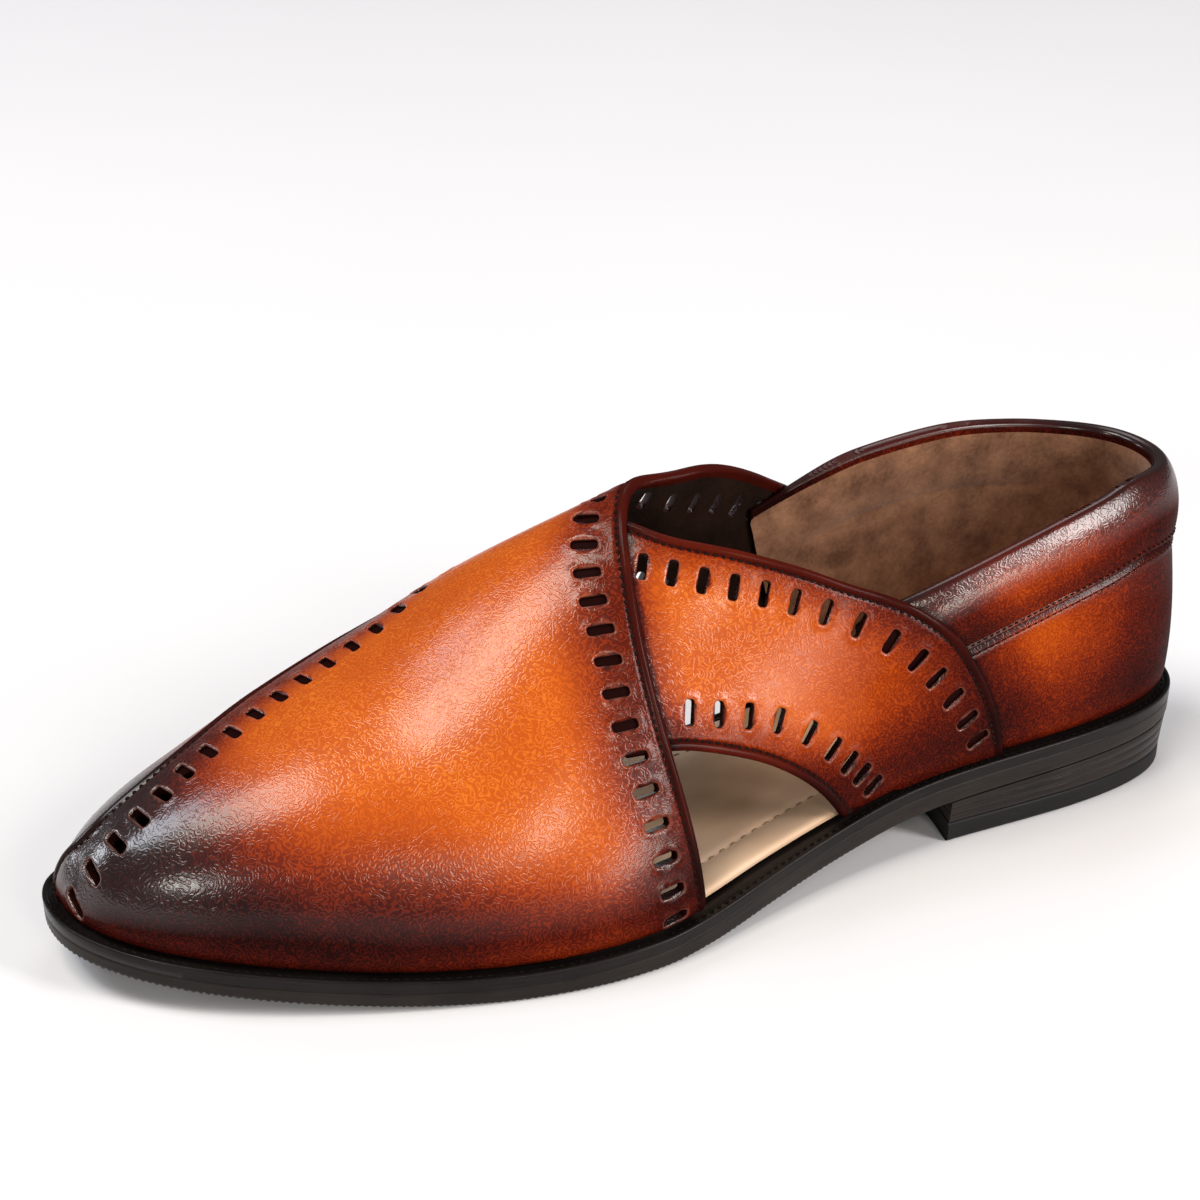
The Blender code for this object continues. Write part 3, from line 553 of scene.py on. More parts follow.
class Panel:
    """One leather panel: its place on the last, and how high its two faces stand above it."""

    def __init__(self, name, faces, covers, free_edges, rubbed_and_shaded, slots=()):
        self.name, self.faces, self.covers = name, faces, covers
        self.free_edges, self.rubbed_and_shaded = free_edges, rubbed_and_shaded
        self.has_collar = name == "quarter"
        self.rows = [slot_places(row) for row in slots]
        self.rims = [rim for row in self.rows for rim in slot_outlines(row, 0.0)]

    def measure(self, spots):
        """What the faces' levels and the finish depend on at each spot."""
        points, depth = real(spots), collar_depth(spots)
        to_edge = np.abs(depth)
        if not self.has_collar:
            to_edge = np.min([distance_to_line(points, real(line)) for line, _ in self.free_edges], 0)
        return SimpleNamespace(
            spots=spots, points=points, x=points[:, 0], rise=points[:, 2] - sole_top(points[:, 0]) - GAP,
            to_edge=to_edge, to_slot=slot_distance(self.rims, points), depth=depth,
            padded=fade(*PADDING_END, station(spots[:, 0])))

    def shaded_beneath(self, spots):
        """Which spots lie under another panel, where the leather is painted fully dark as shade."""
        if self.name == "over_panel":
            return np.zeros(len(spots), bool)
        return on_panels(spots) if self.has_collar else on_over(spots)

    def heights(self, at):
        """Levels of the inner face, on the last or on the panel beneath, and of the outer face."""
        level = np.full(len(at.spots), self.faces[0])
        if not self.has_collar:
            level[on_quarter(at.spots)] = QUARTER_LEVEL
        if self.name == "over_panel":
            level[on_under(at.spots)] = UNDER_PANEL_LEVEL
        thick = self.faces[1] - level
        outer = self.faces[1] + unevenness(at.points)
        if not self.has_collar:
            over_pad = smoothstep(-6.0, 2.5, at.depth) * fade(13.0, 24.0, at.depth)
            lift = COLLAR_PAD_OUT * over_pad * at.padded
            level += lift
            outer += lift
            outer += relief(at.to_edge, EDGE_RELIEF)
        outer -= drop_at_edge(at.to_edge, np.minimum(EDGE_RADIUS, 0.6 * thick))
        outer -= drop_at_edge(at.to_slot, SLOT_RADIUS) - relief(at.to_slot, SLOT_RELIEF)
        outer -= TUCK * (1 - np.clip(at.rise / TUCK_HEIGHT, 0, 1)) ** 2
        inner = level + drop_at_edge(at.to_edge, 0.3 * thick)
        if self.has_collar:
            bulge = np.sin(pi * np.clip(at.depth / COLLAR_BAND, 0, 1) ** 0.85) ** 0.62 * at.padded
            outer += COLLAR_PAD_OUT * bulge + relief(at.depth, COLLAR_RELIEF) * (0.35 + 0.65 * at.padded)
            inner -= COLLAR_PAD_IN * bulge
        return inner, np.maximum(outer, inner + LEAST_WALL)

    def burnish_and_shade(self, at):
        """How dark the leather is painted, from 0 to 1: burnished at its edges and toe and darker at the
        heel; partly burnished and partly painted shade near the sole; partly painted shade next to a panel
        lying on top, with a painted shadow line along its edge; painted shade beneath that panel, in the
        slots' walls and under the collar's padded roll.
        """
        on_inner_side = smoothstep(0.8, 1.2, at.spots[:, 1])
        light = np.ones(len(at.spots))
        # Along a panel's own edges this is burnish; next to the edge of a panel lying on top it is partly
        # painted shade, and the narrow entries there are painted shadow lines.
        for line, strength, near, far, far_inner in self.rubbed_and_shaded:
            reach = far + (far_inner - far) * on_inner_side
            away = distance_to_line(at.points, real(line))
            light *= 1 - strength * fade(0, 1, (away - near) / (reach - near))
        # Above the sole: darker, partly burnished and partly painted shade, higher and darker towards the
        # toe, with a paler line at the very bottom.
        height = 33.0 + 18.0 * smoothstep(180.0, 232.0, at.x) + 5.0 * fade(110.0, 150.0, at.x)
        strength = 0.74 + 0.26 * smoothstep(190.0, 240.0, at.x) - 0.16 * fade(60.0, 90.0, at.x)
        light *= 1 - strength * fade(0.1, 0.8, at.rise / height)
        light *= fade(TOE_CLEAR, TOE_DARK, at.x - 0.10 * (at.points[:, 2] - 20))
        light *= 1 - HEEL_SHADE * fade(HEEL_DARK, HEEL_CLEAR, at.x)
        # The paler line at the very bottom is a painted reflection of the floor.
        light = np.minimum(1.0, light + 0.15 * hump(at.rise, 3.0, 3.5))
        if self.has_collar:
            light *= COLLAR_LIGHT * (1 - 0.52 * fade(1.0, 7.5, at.depth))
            light *= 1 - 0.22 * fade(18.5, 19.5, at.depth)
            # Painted shade under the padded roll and along its seam.
            for share, middle, width in COLLAR_SHADES:
                light *= 1 - share * hump(at.depth, middle, width)
        else:
            if self.name == "under_panel":
                light *= 1 - STRAP_SHADE * fade(STRAP_DARK, STRAP_CLEAR, at.x)
            light *= 1 - 0.35 * fade(1.4, 3.4, at.to_edge) - 0.45 * hump(at.to_edge, SEAM_INSET, 0.45)
        dark = 1 - light
        # The slots' walls and the leather beneath another panel are painted fully dark as shade.
        dark[(at.to_slot < ON_RIM) | self.shaded_beneath(at.spots)] = 1.0
        dark[at.to_edge < ON_RIM] = np.maximum(dark[at.to_edge < ON_RIM], 0.75)
        return dark

    def polish(self, at):
        """How glossy the wax is, from 0 to 1: a mirror on the toe and along the collar's roll."""
        gloss = PLAIN_GLOSS + (1 - PLAIN_GLOSS) * smoothstep(MIRROR_START, MIRROR_FULL, at.x)
        if self.has_collar:
            gloss += 0.45 * hump(at.depth, 6.0, 5.0)
            gloss *= 1 - 0.6 * hump(at.depth, COLLAR_SEAM, 2.2)
        else:
            gloss *= 1 - 0.6 * fade(2.0, 14.0, at.to_edge) * fade(235.0, 260.0, at.x)
            gloss *= 1 - 0.6 * fade(1.5, 3.5, at.to_edge)
        return gloss


# Rubbed and shaded lines: the line, how dark, from and to which distance, and the latter on the inner side.
# Along a panel's own edges the leather is burnished; next to the edge of a panel lying on top the darkening
# is partly painted shade, and the narrow entries reaching 1.8 are painted shadow lines.
OVER_PANEL = Panel("over_panel", (1.1, 3.8), on_over, [(over_collar, 1), (over_toe, -1)],
                   [(over_collar, 0.66, 6.0, 26.0, 17.0), (over_toe, 0.64, 5.0, 18.0, 18.0)],
                   (COLLAR_SLOTS, TOE_SLOTS))
# Near the over-panel's edges partly painted shade, and a painted shadow line along its collar edge.
UNDER_PANEL = Panel("under_panel", (0.5, 2.8), on_under,
                    [(strap_top, -1), (strap_low, 1), (under_rear, -1)],
                    [(strap_top, 0.52, 1.0, 13.0, 13.0), (strap_low, 0.52, 2.0, 15.0, 15.0),
                     (under_rear, 0.52, 1.0, 13.0, 13.0), (over_collar, 0.40, 0.0, 10.0, 10.0),
                     (over_toe, 0.45, 0.0, 13.0, 13.0), (over_collar, 0.85, 0.3, 1.8, 1.8)],
                    (STRAP_COLLAR_SLOTS, STRAP_LOWER_SLOTS))
# Near the strap's and over-panel's edges partly painted shade, and a painted shadow line along the strap's
# top edge.
QUARTER = Panel("quarter", (0.0, 1.8), on_quarter, [],
                [(strap_top, 0.66, 1.0, 20.0, 20.0), (over_collar, 0.55, 1.0, 13.0, 13.0),
                 (over_toe, 0.55, 1.0, 13.0, 13.0), (strap_top, 0.85, 0.3, 1.8, 1.8)])

EDGE_RINGS = (0.06, 0.2, 0.42, 0.7, 1.0, 1.4, 1.8, 2.1, 2.4, 2.7, 3.1, 3.7)
SLOT_RINGS = (0.07, 0.2, 0.42, 0.75, 1.2)
COLLAR_RINGS = (0.0, 0.06, 0.2, 0.42, 0.7, 1.1, 1.6, 2.3, 3.2, 4.3, 5.6, 7.0, 8.5, 10.0, 11.5, 13.0, 14.3,
                15.5, 16.5, 17.3, 17.9, 18.3, 18.7, 19.2, 19.7, 20.3, 20.9, 21.4, 21.9, 22.3, 22.8, 23.6)
ROOM = 0.62  # of SPACING, that loose points keep from the others
MERGE_WITHIN = 0.004
UNROLL = np.array([120.0, 80.0])  # millimetres for a step of the angle and of w, to mesh in the plane
SEAM_STEP = 1.2
ANGLE_STEP = 0.0095


def border():
    """Closed border of the unrolled last; its heel and toe ends have matching points on both sides."""
    collar = HEEL_TOP - np.array(COLLAR_RINGS) / HEEL_PER_W
    lowest = collar[-1]
    heel = np.r_[np.linspace(0, lowest, int(lowest * HEEL_PER_W / SEAM_STEP) + 1), collar[-2::-1]]
    toe = np.linspace(0, 1, 24)
    feather = pi * np.arange(1, 260) / 260
    outer = [(a, 0.0) for a in feather]
    tip = [(pi, w) for w in np.r_[toe, 2 - toe[-2::-1]]]
    inner = [(a, 2.0) for a in feather[::-1]]
    back = [(0.0, w) for w in np.r_[2 - heel, heel[::-1]]]
    return np.array(outer + tip + inner + back)


def even_points():
    """Points about SPACING apart all over the last, each row of them staggered."""
    points = []
    for k, angle in enumerate(np.arange(0.5, pi / ANGLE_STEP) * ANGLE_STEP):
        w = np.linspace(0, 2, 90)
        length = real_length(last_point(np.full(len(w), angle), w))
        at = np.arange(0.5 + 0.5 * (k % 2), length[-1] / SPACING) * SPACING
        points.append(np.stack([np.full(len(at), angle), np.interp(at, length, w)], 1))
    return np.concatenate(points)


def in_border(spots):
    angle, w = spots[:, 0], spots[:, 1]
    return (angle > 0.001) & (angle < pi - 0.001) & (w > 0.002) & (w < 1.998)


def clear_of(points, placed, room):
    """Which points keep their distance from those placed before."""
    tree = KDTree(len(placed))
    for k, point in enumerate(placed):
        tree.insert(point, k)
    tree.balance()
    return np.array([tree.find(point)[2] > room for point in points])


def panel_triangles(panel, loose):
    """Spots and triangles of one panel, following its edges, seams and slots."""
    lines = [line for line, _ in panel.free_edges]
    rings = [shifted(line, side * d) for line, side in panel.free_edges for d in EDGE_RINGS]
    if panel.has_collar:
        lines += [collar_line(0.0, side) for side in (1, -1)]
        rings += [collar_line(depth, side) for side in (1, -1) for depth in COLLAR_RINGS[1:]]
    slots = [rim for rim in panel.rims if panel.covers(rim.mean(0)[None])[0]]
    held = [border(), *lines, *slots]
    edges, total = [], 0
    for k, line in enumerate(held):
        size = len(line)
        is_open = 0 < k <= len(lines)
        edges += [(total + n, total + (n + 1) % size) for n in range(size - is_open)]
        total += size
    around = [slot_outlines(row, grow) for row in panel.rows for grow in SLOT_RINGS]
    around = [some[panel.covers(some.mean(1))].reshape(-1, 2) for some in around]
    around = np.concatenate([np.empty((0, 2)), *around])
    rings = np.concatenate(rings)
    rings = rings[in_border(rings) & panel.covers(rings)]
    rings = rings[slot_distance(panel.rims, real(rings)) > SLOT_RINGS[-1] + 0.2]
    held += [around[in_border(around)], rings]
    loose = loose[panel.covers(loose)]
    loose = loose[clear_of(real(loose), real(np.concatenate(held)), ROOM * SPACING)]
    flat = [tuple(spot) for spot in np.concatenate([*held, loose]) * UNROLL]
    found = delaunay_2d_cdt(flat, edges, [], 0, MERGE_WITHIN, False)
    every = np.array([tuple(v) for v in found[0]]) / UNROLL
    triangles = np.array([tuple(f) for f in found[2]])
    middle = every[triangles].mean(1)
    keep = panel.covers(middle) & (middle[:, 0] > 0) & (middle[:, 0] < pi)
    keep &= (middle[:, 1] > 0) & (middle[:, 1] < 2)
    for slot in slots:
        near = np.abs((middle - slot.mean(0)) * UNROLL).max(1) < SLOT_LENGTH * 2
        near[near] = inside(middle[near], slot)
        keep &= ~near
    return every, triangles[keep]


def seam_partner(spot):
    """Both sides of the heel seam and of the toe seam share a key."""
    angle, w = spot
    if angle < 1e-5 or angle > pi - 1e-5:
        w = min(w, 2 - w)
    return round(float(angle), 6), round(float(w), 6)


def welded(spots, triangles):
    keys, index = {}, []
    for spot in spots:
        index.append(keys.setdefault(seam_partner(spot), len(keys)))
    triangles = np.array(index)[triangles]
    a, b, c = triangles.T
    triangles = triangles[(a != b) & (b != c) & (c != a)]
    used, triangles = np.unique(triangles, return_inverse=True)
    return np.array(list(keys))[used], triangles.reshape(-1, 3)


def open_edges(triangles, count):
    """Directed edges that only one triangle has."""
    a = triangles[:, [0, 1, 2]].ravel()
    b = triangles[:, [1, 2, 0]].ravel()
    alone = ~np.isin(a * count + b, b * count + a)
    return a[alone], b[alone]


# ---------------- meshes into the frame ----------------
def frame_origin():
    """The frame's origin in the shoe's own layout, from the outsole's box."""
    low, high = (np.array(corner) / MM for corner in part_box("outsole"))
    y = np.concatenate([outline(np.linspace(0, pi, 400), side)[:, 1] for side in (1, -1)])
    return np.array([(LENGTH - low[0] - high[0]) / 2, (y.max() + y.min() - low[1] - high[1]) / 2, -low[2]])


ORIGIN = frame_origin()


def to_frame(points):
    return (np.asarray(points) - ORIGIN) * MM


def add_object(name, data):
    made = bpy.data.objects.new(name, data)
    bpy.context.scene.collection.objects.link(made)
    return made


def add_mesh(name, points, faces, materials, replaces="", values=None, face_material=None):
    """A smooth mesh object in the frame that rides on the shoe's one body."""
    mesh = bpy.data.meshes.new(name)
    mesh.from_pydata(to_frame(points).tolist(), [], faces)
    for material in materials:
        mesh.materials.append(material)
    if face_material is not None:
        mesh.polygons.foreach_set("material_index", np.asarray(face_material, np.int32))
    for key, value in (values or {}).items():
        attribute = mesh.attributes.new(key, "FLOAT", "POINT")
        attribute.data.foreach_set("value", np.asarray(value, np.float32))
    mesh.polygons.foreach_set("use_smooth", np.ones(len(mesh.polygons), bool))
    mesh.set_sharp_from_angle(angle=radians(50))
    mesh.update()
    made = add_object(name, mesh)
    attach(made, "root")
    if replaces:
        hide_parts(replaces)


def add_panel(panel, loose, leather, lining, replaces=""):
    spots, triangles = welded(*panel_triangles(panel, loose))
    at, normals = panel.measure(spots), last_normal(spots)
    bottom = (spots[:, 1] < 1e-5) | (spots[:, 1] > 2 - 1e-5)
    skins = []
    for height in panel.heights(at):
        skin = at.points + normals * height[:, None]
        level = sole_top(skin[:, 0]) + GAP
        skin[bottom, 2] = level[bottom]
        skin[:, 2] = np.maximum(skin[:, 2], level)
        skins.append(skin)
    count = len(spots)
    start, end = open_edges(triangles, count)
    faces = np.concatenate([triangles + count, triangles[:, ::-1], np.stack([end, start, start + count], 1),
                            np.stack([end, start + count, end + count], 1)])
    a, b, c = (skins[1][corner] for corner in triangles.T)
    if np.median((np.cross(b - a, c - a) * normals[triangles[:, 0]]).sum(1)) < 0:
        faces = faces[:, ::-1]
    is_lining = np.zeros(len(faces), int)
    is_lining[len(triangles):2 * len(triangles)] = at.to_edge[triangles].mean(1) >= TURNED_IN
    bare = ~panel.shaded_beneath(spots)
    grain = smoothstep(0.3, 1.5, at.to_edge) if panel.has_collar else smoothstep(1.5, 2.7, at.to_edge)
    finish = {"burnish_and_shade": panel.burnish_and_shade(at), "grain": grain * bare, "gloss": panel.polish(at) * bare}
    values = {key: np.r_[value, value] for key, value in finish.items()}
    # Round each slot on the outer face: partly the raw cut edge, partly a painted highlight.
    values["rim"] = np.r_[np.zeros(count), hump(at.to_slot, 0.26, 0.16)]
    add_mesh(panel.name, np.concatenate(skins), faces.tolist(), (leather, lining),
             replaces, values, is_lining)


# ---------------- rings and stitches ----------------
def bands(count, size, first=0):
    """Quads between rings of one size."""
    k = np.arange(size)
    after = (k + 1) % size
    quads = [np.stack([first + n * size + k, first + n * size + after, first + (n + 1) * size + after,
                       first + (n + 1) * size + k], 1) for n in range(count - 1)]
    return np.concatenate(quads)[:, ::-1]


def copies(faces, count, size):
    """The faces of one thing for each of a number of them, which has that many points."""
    return [tuple(k + n * size for k in face) for n in range(count) for face in faces]


THREAD_SIDES = 6
THREAD_STAGES = np.linspace(-1, 1, 7)


def add_stitches(name, seams, material, stitch):
    """Short rounded threads, dipping in at both ends."""
    _, length, radius = stitch
    centres, along, up = (np.concatenate(parts) for parts in zip(*seams))
    side = np.cross(up, along)
    rings = []
    for s in THREAD_STAGES:
        wide = radius * np.sqrt(max(0.02, 1 - abs(s) ** 3))
        middle = centres + along * s * length / 2 + up * radius * (0.55 - 1.3 * s * s)
        rings += [middle + wide * (side * cos(a) + up * 0.8 * sin(a))
                  for a in np.arange(THREAD_SIDES) * 2 * pi / THREAD_SIDES]
    size = len(rings)
    faces = bands(len(THREAD_STAGES), THREAD_SIDES)[:, ::-1].tolist()
    faces += [range(THREAD_SIDES)[::-1], range(size - THREAD_SIDES, size)]
    add_mesh(name, np.stack(rings, 1).reshape(-1, 3), copies(faces, len(centres), size), (material,))


def seam_on_panel(panel, line, stitch, hidden=None):
    """Centres and directions of a row of stitches lying on a panel."""
    line, pitch = on_last(line), stitch[0]
    length = real_length(real(line))
    spots = read_at(np.arange(0.5, int(length[-1] / pitch)) * pitch, length, line)
    if hidden:
        spots = spots[~hidden(spots)]
    at, up = panel.measure(spots), last_normal(spots)
    ahead = spots + np.gradient(spots, axis=0) * 0.1
    return at.points + up * panel.heights(at)[1][:, None], unit(real(ahead) - at.points), up


# ---------------- node materials ----------------
class Nodes:
    """A few words for building node trees."""

    def __init__(self, name):
        self.material = bpy.data.materials.new(name)
        self.material.use_nodes = True
        self.tree = self.material.node_tree
        where = self.add("ShaderNodeTexCoord").outputs
        self.place, self.normal = where["Object"], where["Normal"]

    def add(self, kind, inputs=None, **settings):
        node = self.tree.nodes.new(kind)
        for key, value in settings.items():
            setattr(node, key, value)
        for key, value in (inputs or {}).items():
            self.set(node.inputs[key], value)
        return node

    def set(self, socket, value):
        if isinstance(value, bpy.types.NodeSocket):
            self.tree.links.new(value, socket)
        else:
            socket.default_value = value

    def math(self, operation, a, b=0.0, c=0.0):
        return self.add("ShaderNodeMath", {0: a, 1: b, 2: c}, operation=operation).outputs[0]

    def noise(self, scale, detail, place=None, roughness=0.5, distortion=0.0):
        inputs = {"Vector": place or self.place, "Scale": scale, "Detail": detail,
                  "Roughness": roughness, "Distortion": distortion}
        return self.add("ShaderNodeTexNoise", inputs).outputs["Fac"]

    def attribute(self, name):
        return self.add("ShaderNodeAttribute", attribute_name=name).outputs["Fac"]

    def ramp(self, value, stops):
        node = self.add("ShaderNodeValToRGB", {"Fac": value})
        elements = node.color_ramp.elements
        for element, (position, colour) in zip(elements, (stops[0], stops[-1])):
            element.position, element.color = position, (*colour, 1)
        for position, colour in stops[1:-1]:
            elements.new(position).color = (*colour, 1)
        return node.outputs["Color"]

    def between(self, value, low, high, new_low, new_high):
        inputs = {"Value": value, "From Min": low, "From Max": high, "To Min": new_low, "To Max": new_high}
        return self.add("ShaderNodeMapRange", inputs).outputs["Result"]

    def cloud(self, scale, detail, low, high, roughness=0.5):
        """Noise with its usual reach stretched to run from low to high."""
        return self.between(self.noise(scale, detail, roughness=roughness), *NOISE_REACH, low, high)

    def bump(self, height, distance, strength, **normal):
        inputs = {"Height": height, "Distance": distance, "Strength": strength, **normal}
        return self.add("ShaderNodeBump", inputs).outputs["Normal"]

    def finish(self, **inputs):
        shader = self.tree.nodes["Principled BSDF"]
        for key, value in inputs.items():
            self.set(shader.inputs[key.replace("_", " ")], value)
        return self.material


NOISE_REACH = (0.3, 0.7)


def labyrinth(nodes):
    """Height of a fine maze of curling lines, under a millimetre apart."""
    turned = nodes.add("ShaderNodeMapping", {"Vector": nodes.place, "Rotation": (0.5, 0.8, 0.3)})
    swirl, fine = (nodes.noise(scale, 0.0, turned.outputs["Vector"])
                   for scale, _ in (COARSE_GRAIN, FINE_GRAIN))
    winding = nodes.math("MULTIPLY_ADD", swirl, COARSE_GRAIN[1],
                         nodes.math("MULTIPLY", fine, FINE_GRAIN[1]))
    wave = nodes.math("MULTIPLY_ADD", nodes.math("SINE", winding), 0.5, 0.5)
    return nodes.math("POWER", wave, GRAIN_POWER)


def leather_material():
    """Dyed leather darkened by burnish and by painted shade, with a waxed grain whose ridges are lighter,
    partly by a painted highlight, and lighter slot rims, partly raw cut edges and partly a painted
    highlight.
    """
    nodes = Nodes("burnished_and_shaded_leather")
    mottle = nodes.cloud(75.0, 4.0, -0.05, 0.05, 0.6)
    tone = nodes.math("ADD", nodes.math("ADD", nodes.attribute("burnish_and_shade"), mottle),
                      nodes.cloud(16.0, 2.0, -0.05, 0.05))
    lines = nodes.math("MULTIPLY", labyrinth(nodes), nodes.attribute("grain"))
    tone = nodes.math("MULTIPLY_ADD", tone, 1 - BARE_TONE, BARE_TONE + GRAIN_MIDDLE)
    # The grain's ridges are lighter, partly dye and partly a painted highlight.
    tone = nodes.math("MULTIPLY_ADD", lines, -GRAIN_LIGHTER, tone)
    # Slot rims lighter: partly raw cut edge, partly a painted highlight.
    rim = nodes.math("MULTIPLY", nodes.attribute("rim"), 0.28)
    colours = {0: rim, 6: nodes.ramp(tone, LEATHER_TONES), 7: SLOT_RIM_EDGE_AND_HIGHLIGHT}
    colour = nodes.add("ShaderNodeMix", colours, data_type="RGBA").outputs[2]
    grain = nodes.bump(lines, RELIEF_DEPTH, 0.8)
    # The wax shines where the shoe faces up, and hardly on its sides.
    facing = nodes.add("ShaderNodeSeparateXYZ", {"Vector": nodes.normal}).outputs["Z"]
    upward = nodes.between(facing, 0.10, 0.42, 0.02, 1.0)
    gloss = nodes.math("MULTIPLY", nodes.attribute("gloss"), upward)
    return nodes.finish(Base_Color=colour, Roughness=nodes.cloud(90.0, 3.0, 0.5, 0.6), Normal=grain,
                        Coat_Weight=gloss, Coat_Roughness=0.21, Coat_Normal=grain, Coat_IOR=1.7,
                        Specular_IOR_Level=0.02)


def suede_material(name, dark, light, sheen):
    nodes = Nodes(name)
    tone = nodes.math("MULTIPLY_ADD", nodes.noise(900.0, 3.0), 0.4, nodes.noise(120.0, 4.0))
    return nodes.finish(Base_Color=nodes.ramp(tone, ((0.45, dark), (0.95, light))), Roughness=0.92,
                        Normal=nodes.bump(nodes.noise(1500.0, 3.0), 0.0002, 0.7), Sheen_Weight=sheen,
                        Sheen_Roughness=0.5, Specular_IOR_Level=0.06)


def thread_material(name, dark, light):
    nodes = Nodes(name)
    twist = nodes.noise(2500.0, 1.0, distortion=1.0)
    return nodes.finish(Base_Color=nodes.ramp(twist, ((0.3, dark), (0.75, light))), Roughness=0.7,
                        Normal=nodes.bump(twist, 0.0001, 0.6), Specular_IOR_Level=0.03)


def edge_material(name, dark, light, rough=(0.3, 0.5)):
    """Inked and polished sole edge, with fine streaks along it."""
    nodes = Nodes(name)
    along = nodes.math("MULTIPLY", nodes.attribute("run"), 0.035)
    drawn = nodes.add("ShaderNodeCombineXYZ", {"X": along, "Y": nodes.attribute("up")}).outputs[0]
    lines = nodes.noise(2.2, 4.0, drawn, 0.65)
    patch = nodes.noise(60.0, 3.0)
    tone = nodes.math("MULTIPLY_ADD", lines, 0.6, nodes.math("MULTIPLY", patch, 0.4))
    return nodes.finish(Base_Color=nodes.ramp(tone, ((0.3, dark), (0.72, light))),
                        Roughness=nodes.between(patch, *NOISE_REACH, *rough),
                        Normal=nodes.bump(lines, 0.00006, 0.8), Specular_IOR_Level=0.12,
                        Coat_Weight=0.04, Coat_Roughness=0.2)


def insole_material():
    nodes = Nodes("natural_insole_leather")
    colour = nodes.ramp(nodes.noise(26.0, 4.0, roughness=0.55), INSOLE_TONES)
    pores = nodes.bump(nodes.noise(1800.0, 2.0), 0.00003, 0.5)
    creased = nodes.bump(nodes.noise(240.0, 3.0), 0.00008, 0.5, Normal=pores)
    return nodes.finish(Base_Color=colour, Roughness=0.55, Normal=creased)


def floor_material():
    nodes = Nodes("pale_floor")
    tone = nodes.cloud(3.0, 2.0, *FLOOR_TONES)
    cooler = nodes.math("MULTIPLY", tone, FLOOR_COOLER)
    colour = nodes.add("ShaderNodeCombineColor", {"Red": tone, "Green": tone, "Blue": cooler})
    return nodes.finish(Base_Color=colour.outputs["Color"], Roughness=0.7, Specular_IOR_Level=0.2)


# ---------------- the sole ----------------
EDGE_STEP = 0.45  # between points round the sole's edge
TOOTH = 1.7  # pitch of the serration along the outsole's bottom edge
TOOTH_DEPTH = 0.55
TREAD = 0.8  # depth of the sunk field that the ribs stand in
TREAD_INSET = 9.8
RIB_PITCH = 3.4
RIB_WIDTH = 2.0
RIB_PROFILE = (  # across a rib: share of its width, and height above the sole's underside
    (-0.62, TREAD + 0.2), (-0.5, 0.4), (-0.34, 0.12), (0.34, 0.12), (0.5, 0.4), (0.62, TREAD + 0.2))
LIFTS = 3  # layers of the heel's stack
LIFT_PROFILE = ((0.015, 0.12), (0.05, 0.02), (0.5, 0.0), (0.95, 0.02), (0.985, 0.12))  # share, inset
TOP_PIECE_PROFILE = ((2.6, 0.0), (1.9, 0.02), (1.55, 0.09), (1.4, 0.2), (1.36, 0.5), (1.36, 0.86),
                     (1.5, 0.94), (1.9, 1.0))  # inset, share


def even_turns():
    """Angles and sides of points at even steps right round the sole, from the heel up its outer side."""
    fine = np.linspace(0, pi, 1500)
    found = []
    for side in (1, -1):
        length = real_length(outline(fine, side))
        steps = int(length[-1] / EDGE_STEP)
        found.append(np.interp(np.arange(steps + 1) / steps * length[-1], length, fine))
    outer, inner = found[0], found[1][-2:0:-1]
    return np.r_[outer, inner], np.r_[np.ones(len(outer)), -np.ones(len(inner))]


TURNS, SIDES = even_turns()
RUN = np.arange(len(TURNS)) * EDGE_STEP


def sole_ring(inset, height):
    """A ring of points at an inset from the sole's edge; inset and height may vary along it."""
    far_in = inset(station(TURNS)) if callable(inset) else np.full(len(TURNS), inset)
    plan = np.where((SIDES > 0)[:, None], outline(TURNS, 1, far_in), outline(TURNS, -1, far_in))
    return np.column_stack([plan, height(plan[:, 0])])


def above(level, offset):
    return lambda x: level(x) + offset


def span(start, size):
    """Quads and end triangles that span a whole-sole ring from its outer to its inner side."""
    toe = int(np.argmax(TURNS))
    left = np.arange(0, toe + 1)
    right = (size - np.round(left * (size - toe) / toe).astype(int)) % size
    faces = [dict.fromkeys(int(v) + start for v in (left[k], left[k + 1], right[k + 1], right[k]))
             for k in range(toe)]
    return [tuple(face) for face in faces if len(face) > 2]


def flat_end(start, size):
    return [tuple(range(start, start + size))]


def add_rings(name, rings, material, replaces, cap, ups=None):
    """A solid made of rings: its first and last one are capped, or without a cap it is a hoop."""
    count, size = len(rings), len(rings[0])
    last = (count - 1) * size
    points = np.concatenate(rings)
    faces = bands(count, size).tolist()
    if cap:
        faces += cap(0, size) + [face[::-1] for face in cap(last, size)]
    else:
        faces += (bands(2, size, last) % (count * size)).tolist()
    values = {"run": np.tile(real_length(rings[0]), count), "up": points[:, 2]}
    if ups:
        values = {"run": np.tile(RUN, count), "up": np.repeat(ups, size)}
    add_mesh(name, points, faces, (material,), replaces, values)


def add_profile(name, profile, material, replaces, cap, notches=()):
    """Rings from rows of inset, level, height above it and place on the streaks' scale."""
    rings = [sole_ring(inset, above(level, offset)) for inset, level, offset, _ in profile]
    for row, notch in notches:
        x = rings[row][:, 0]
        share = smoothstep(100.0, 125.0, x) * (0.55 + 0.45 * smoothstep(225.0, 270.0, x))
        rings[row][:, 2] += TOOTH_DEPTH * notch * share * (np.abs((RUN / TOOTH) % 1 - 0.5) * 2)
    add_rings(name, rings, material, replaces, cap, [up for *_, up in profile])


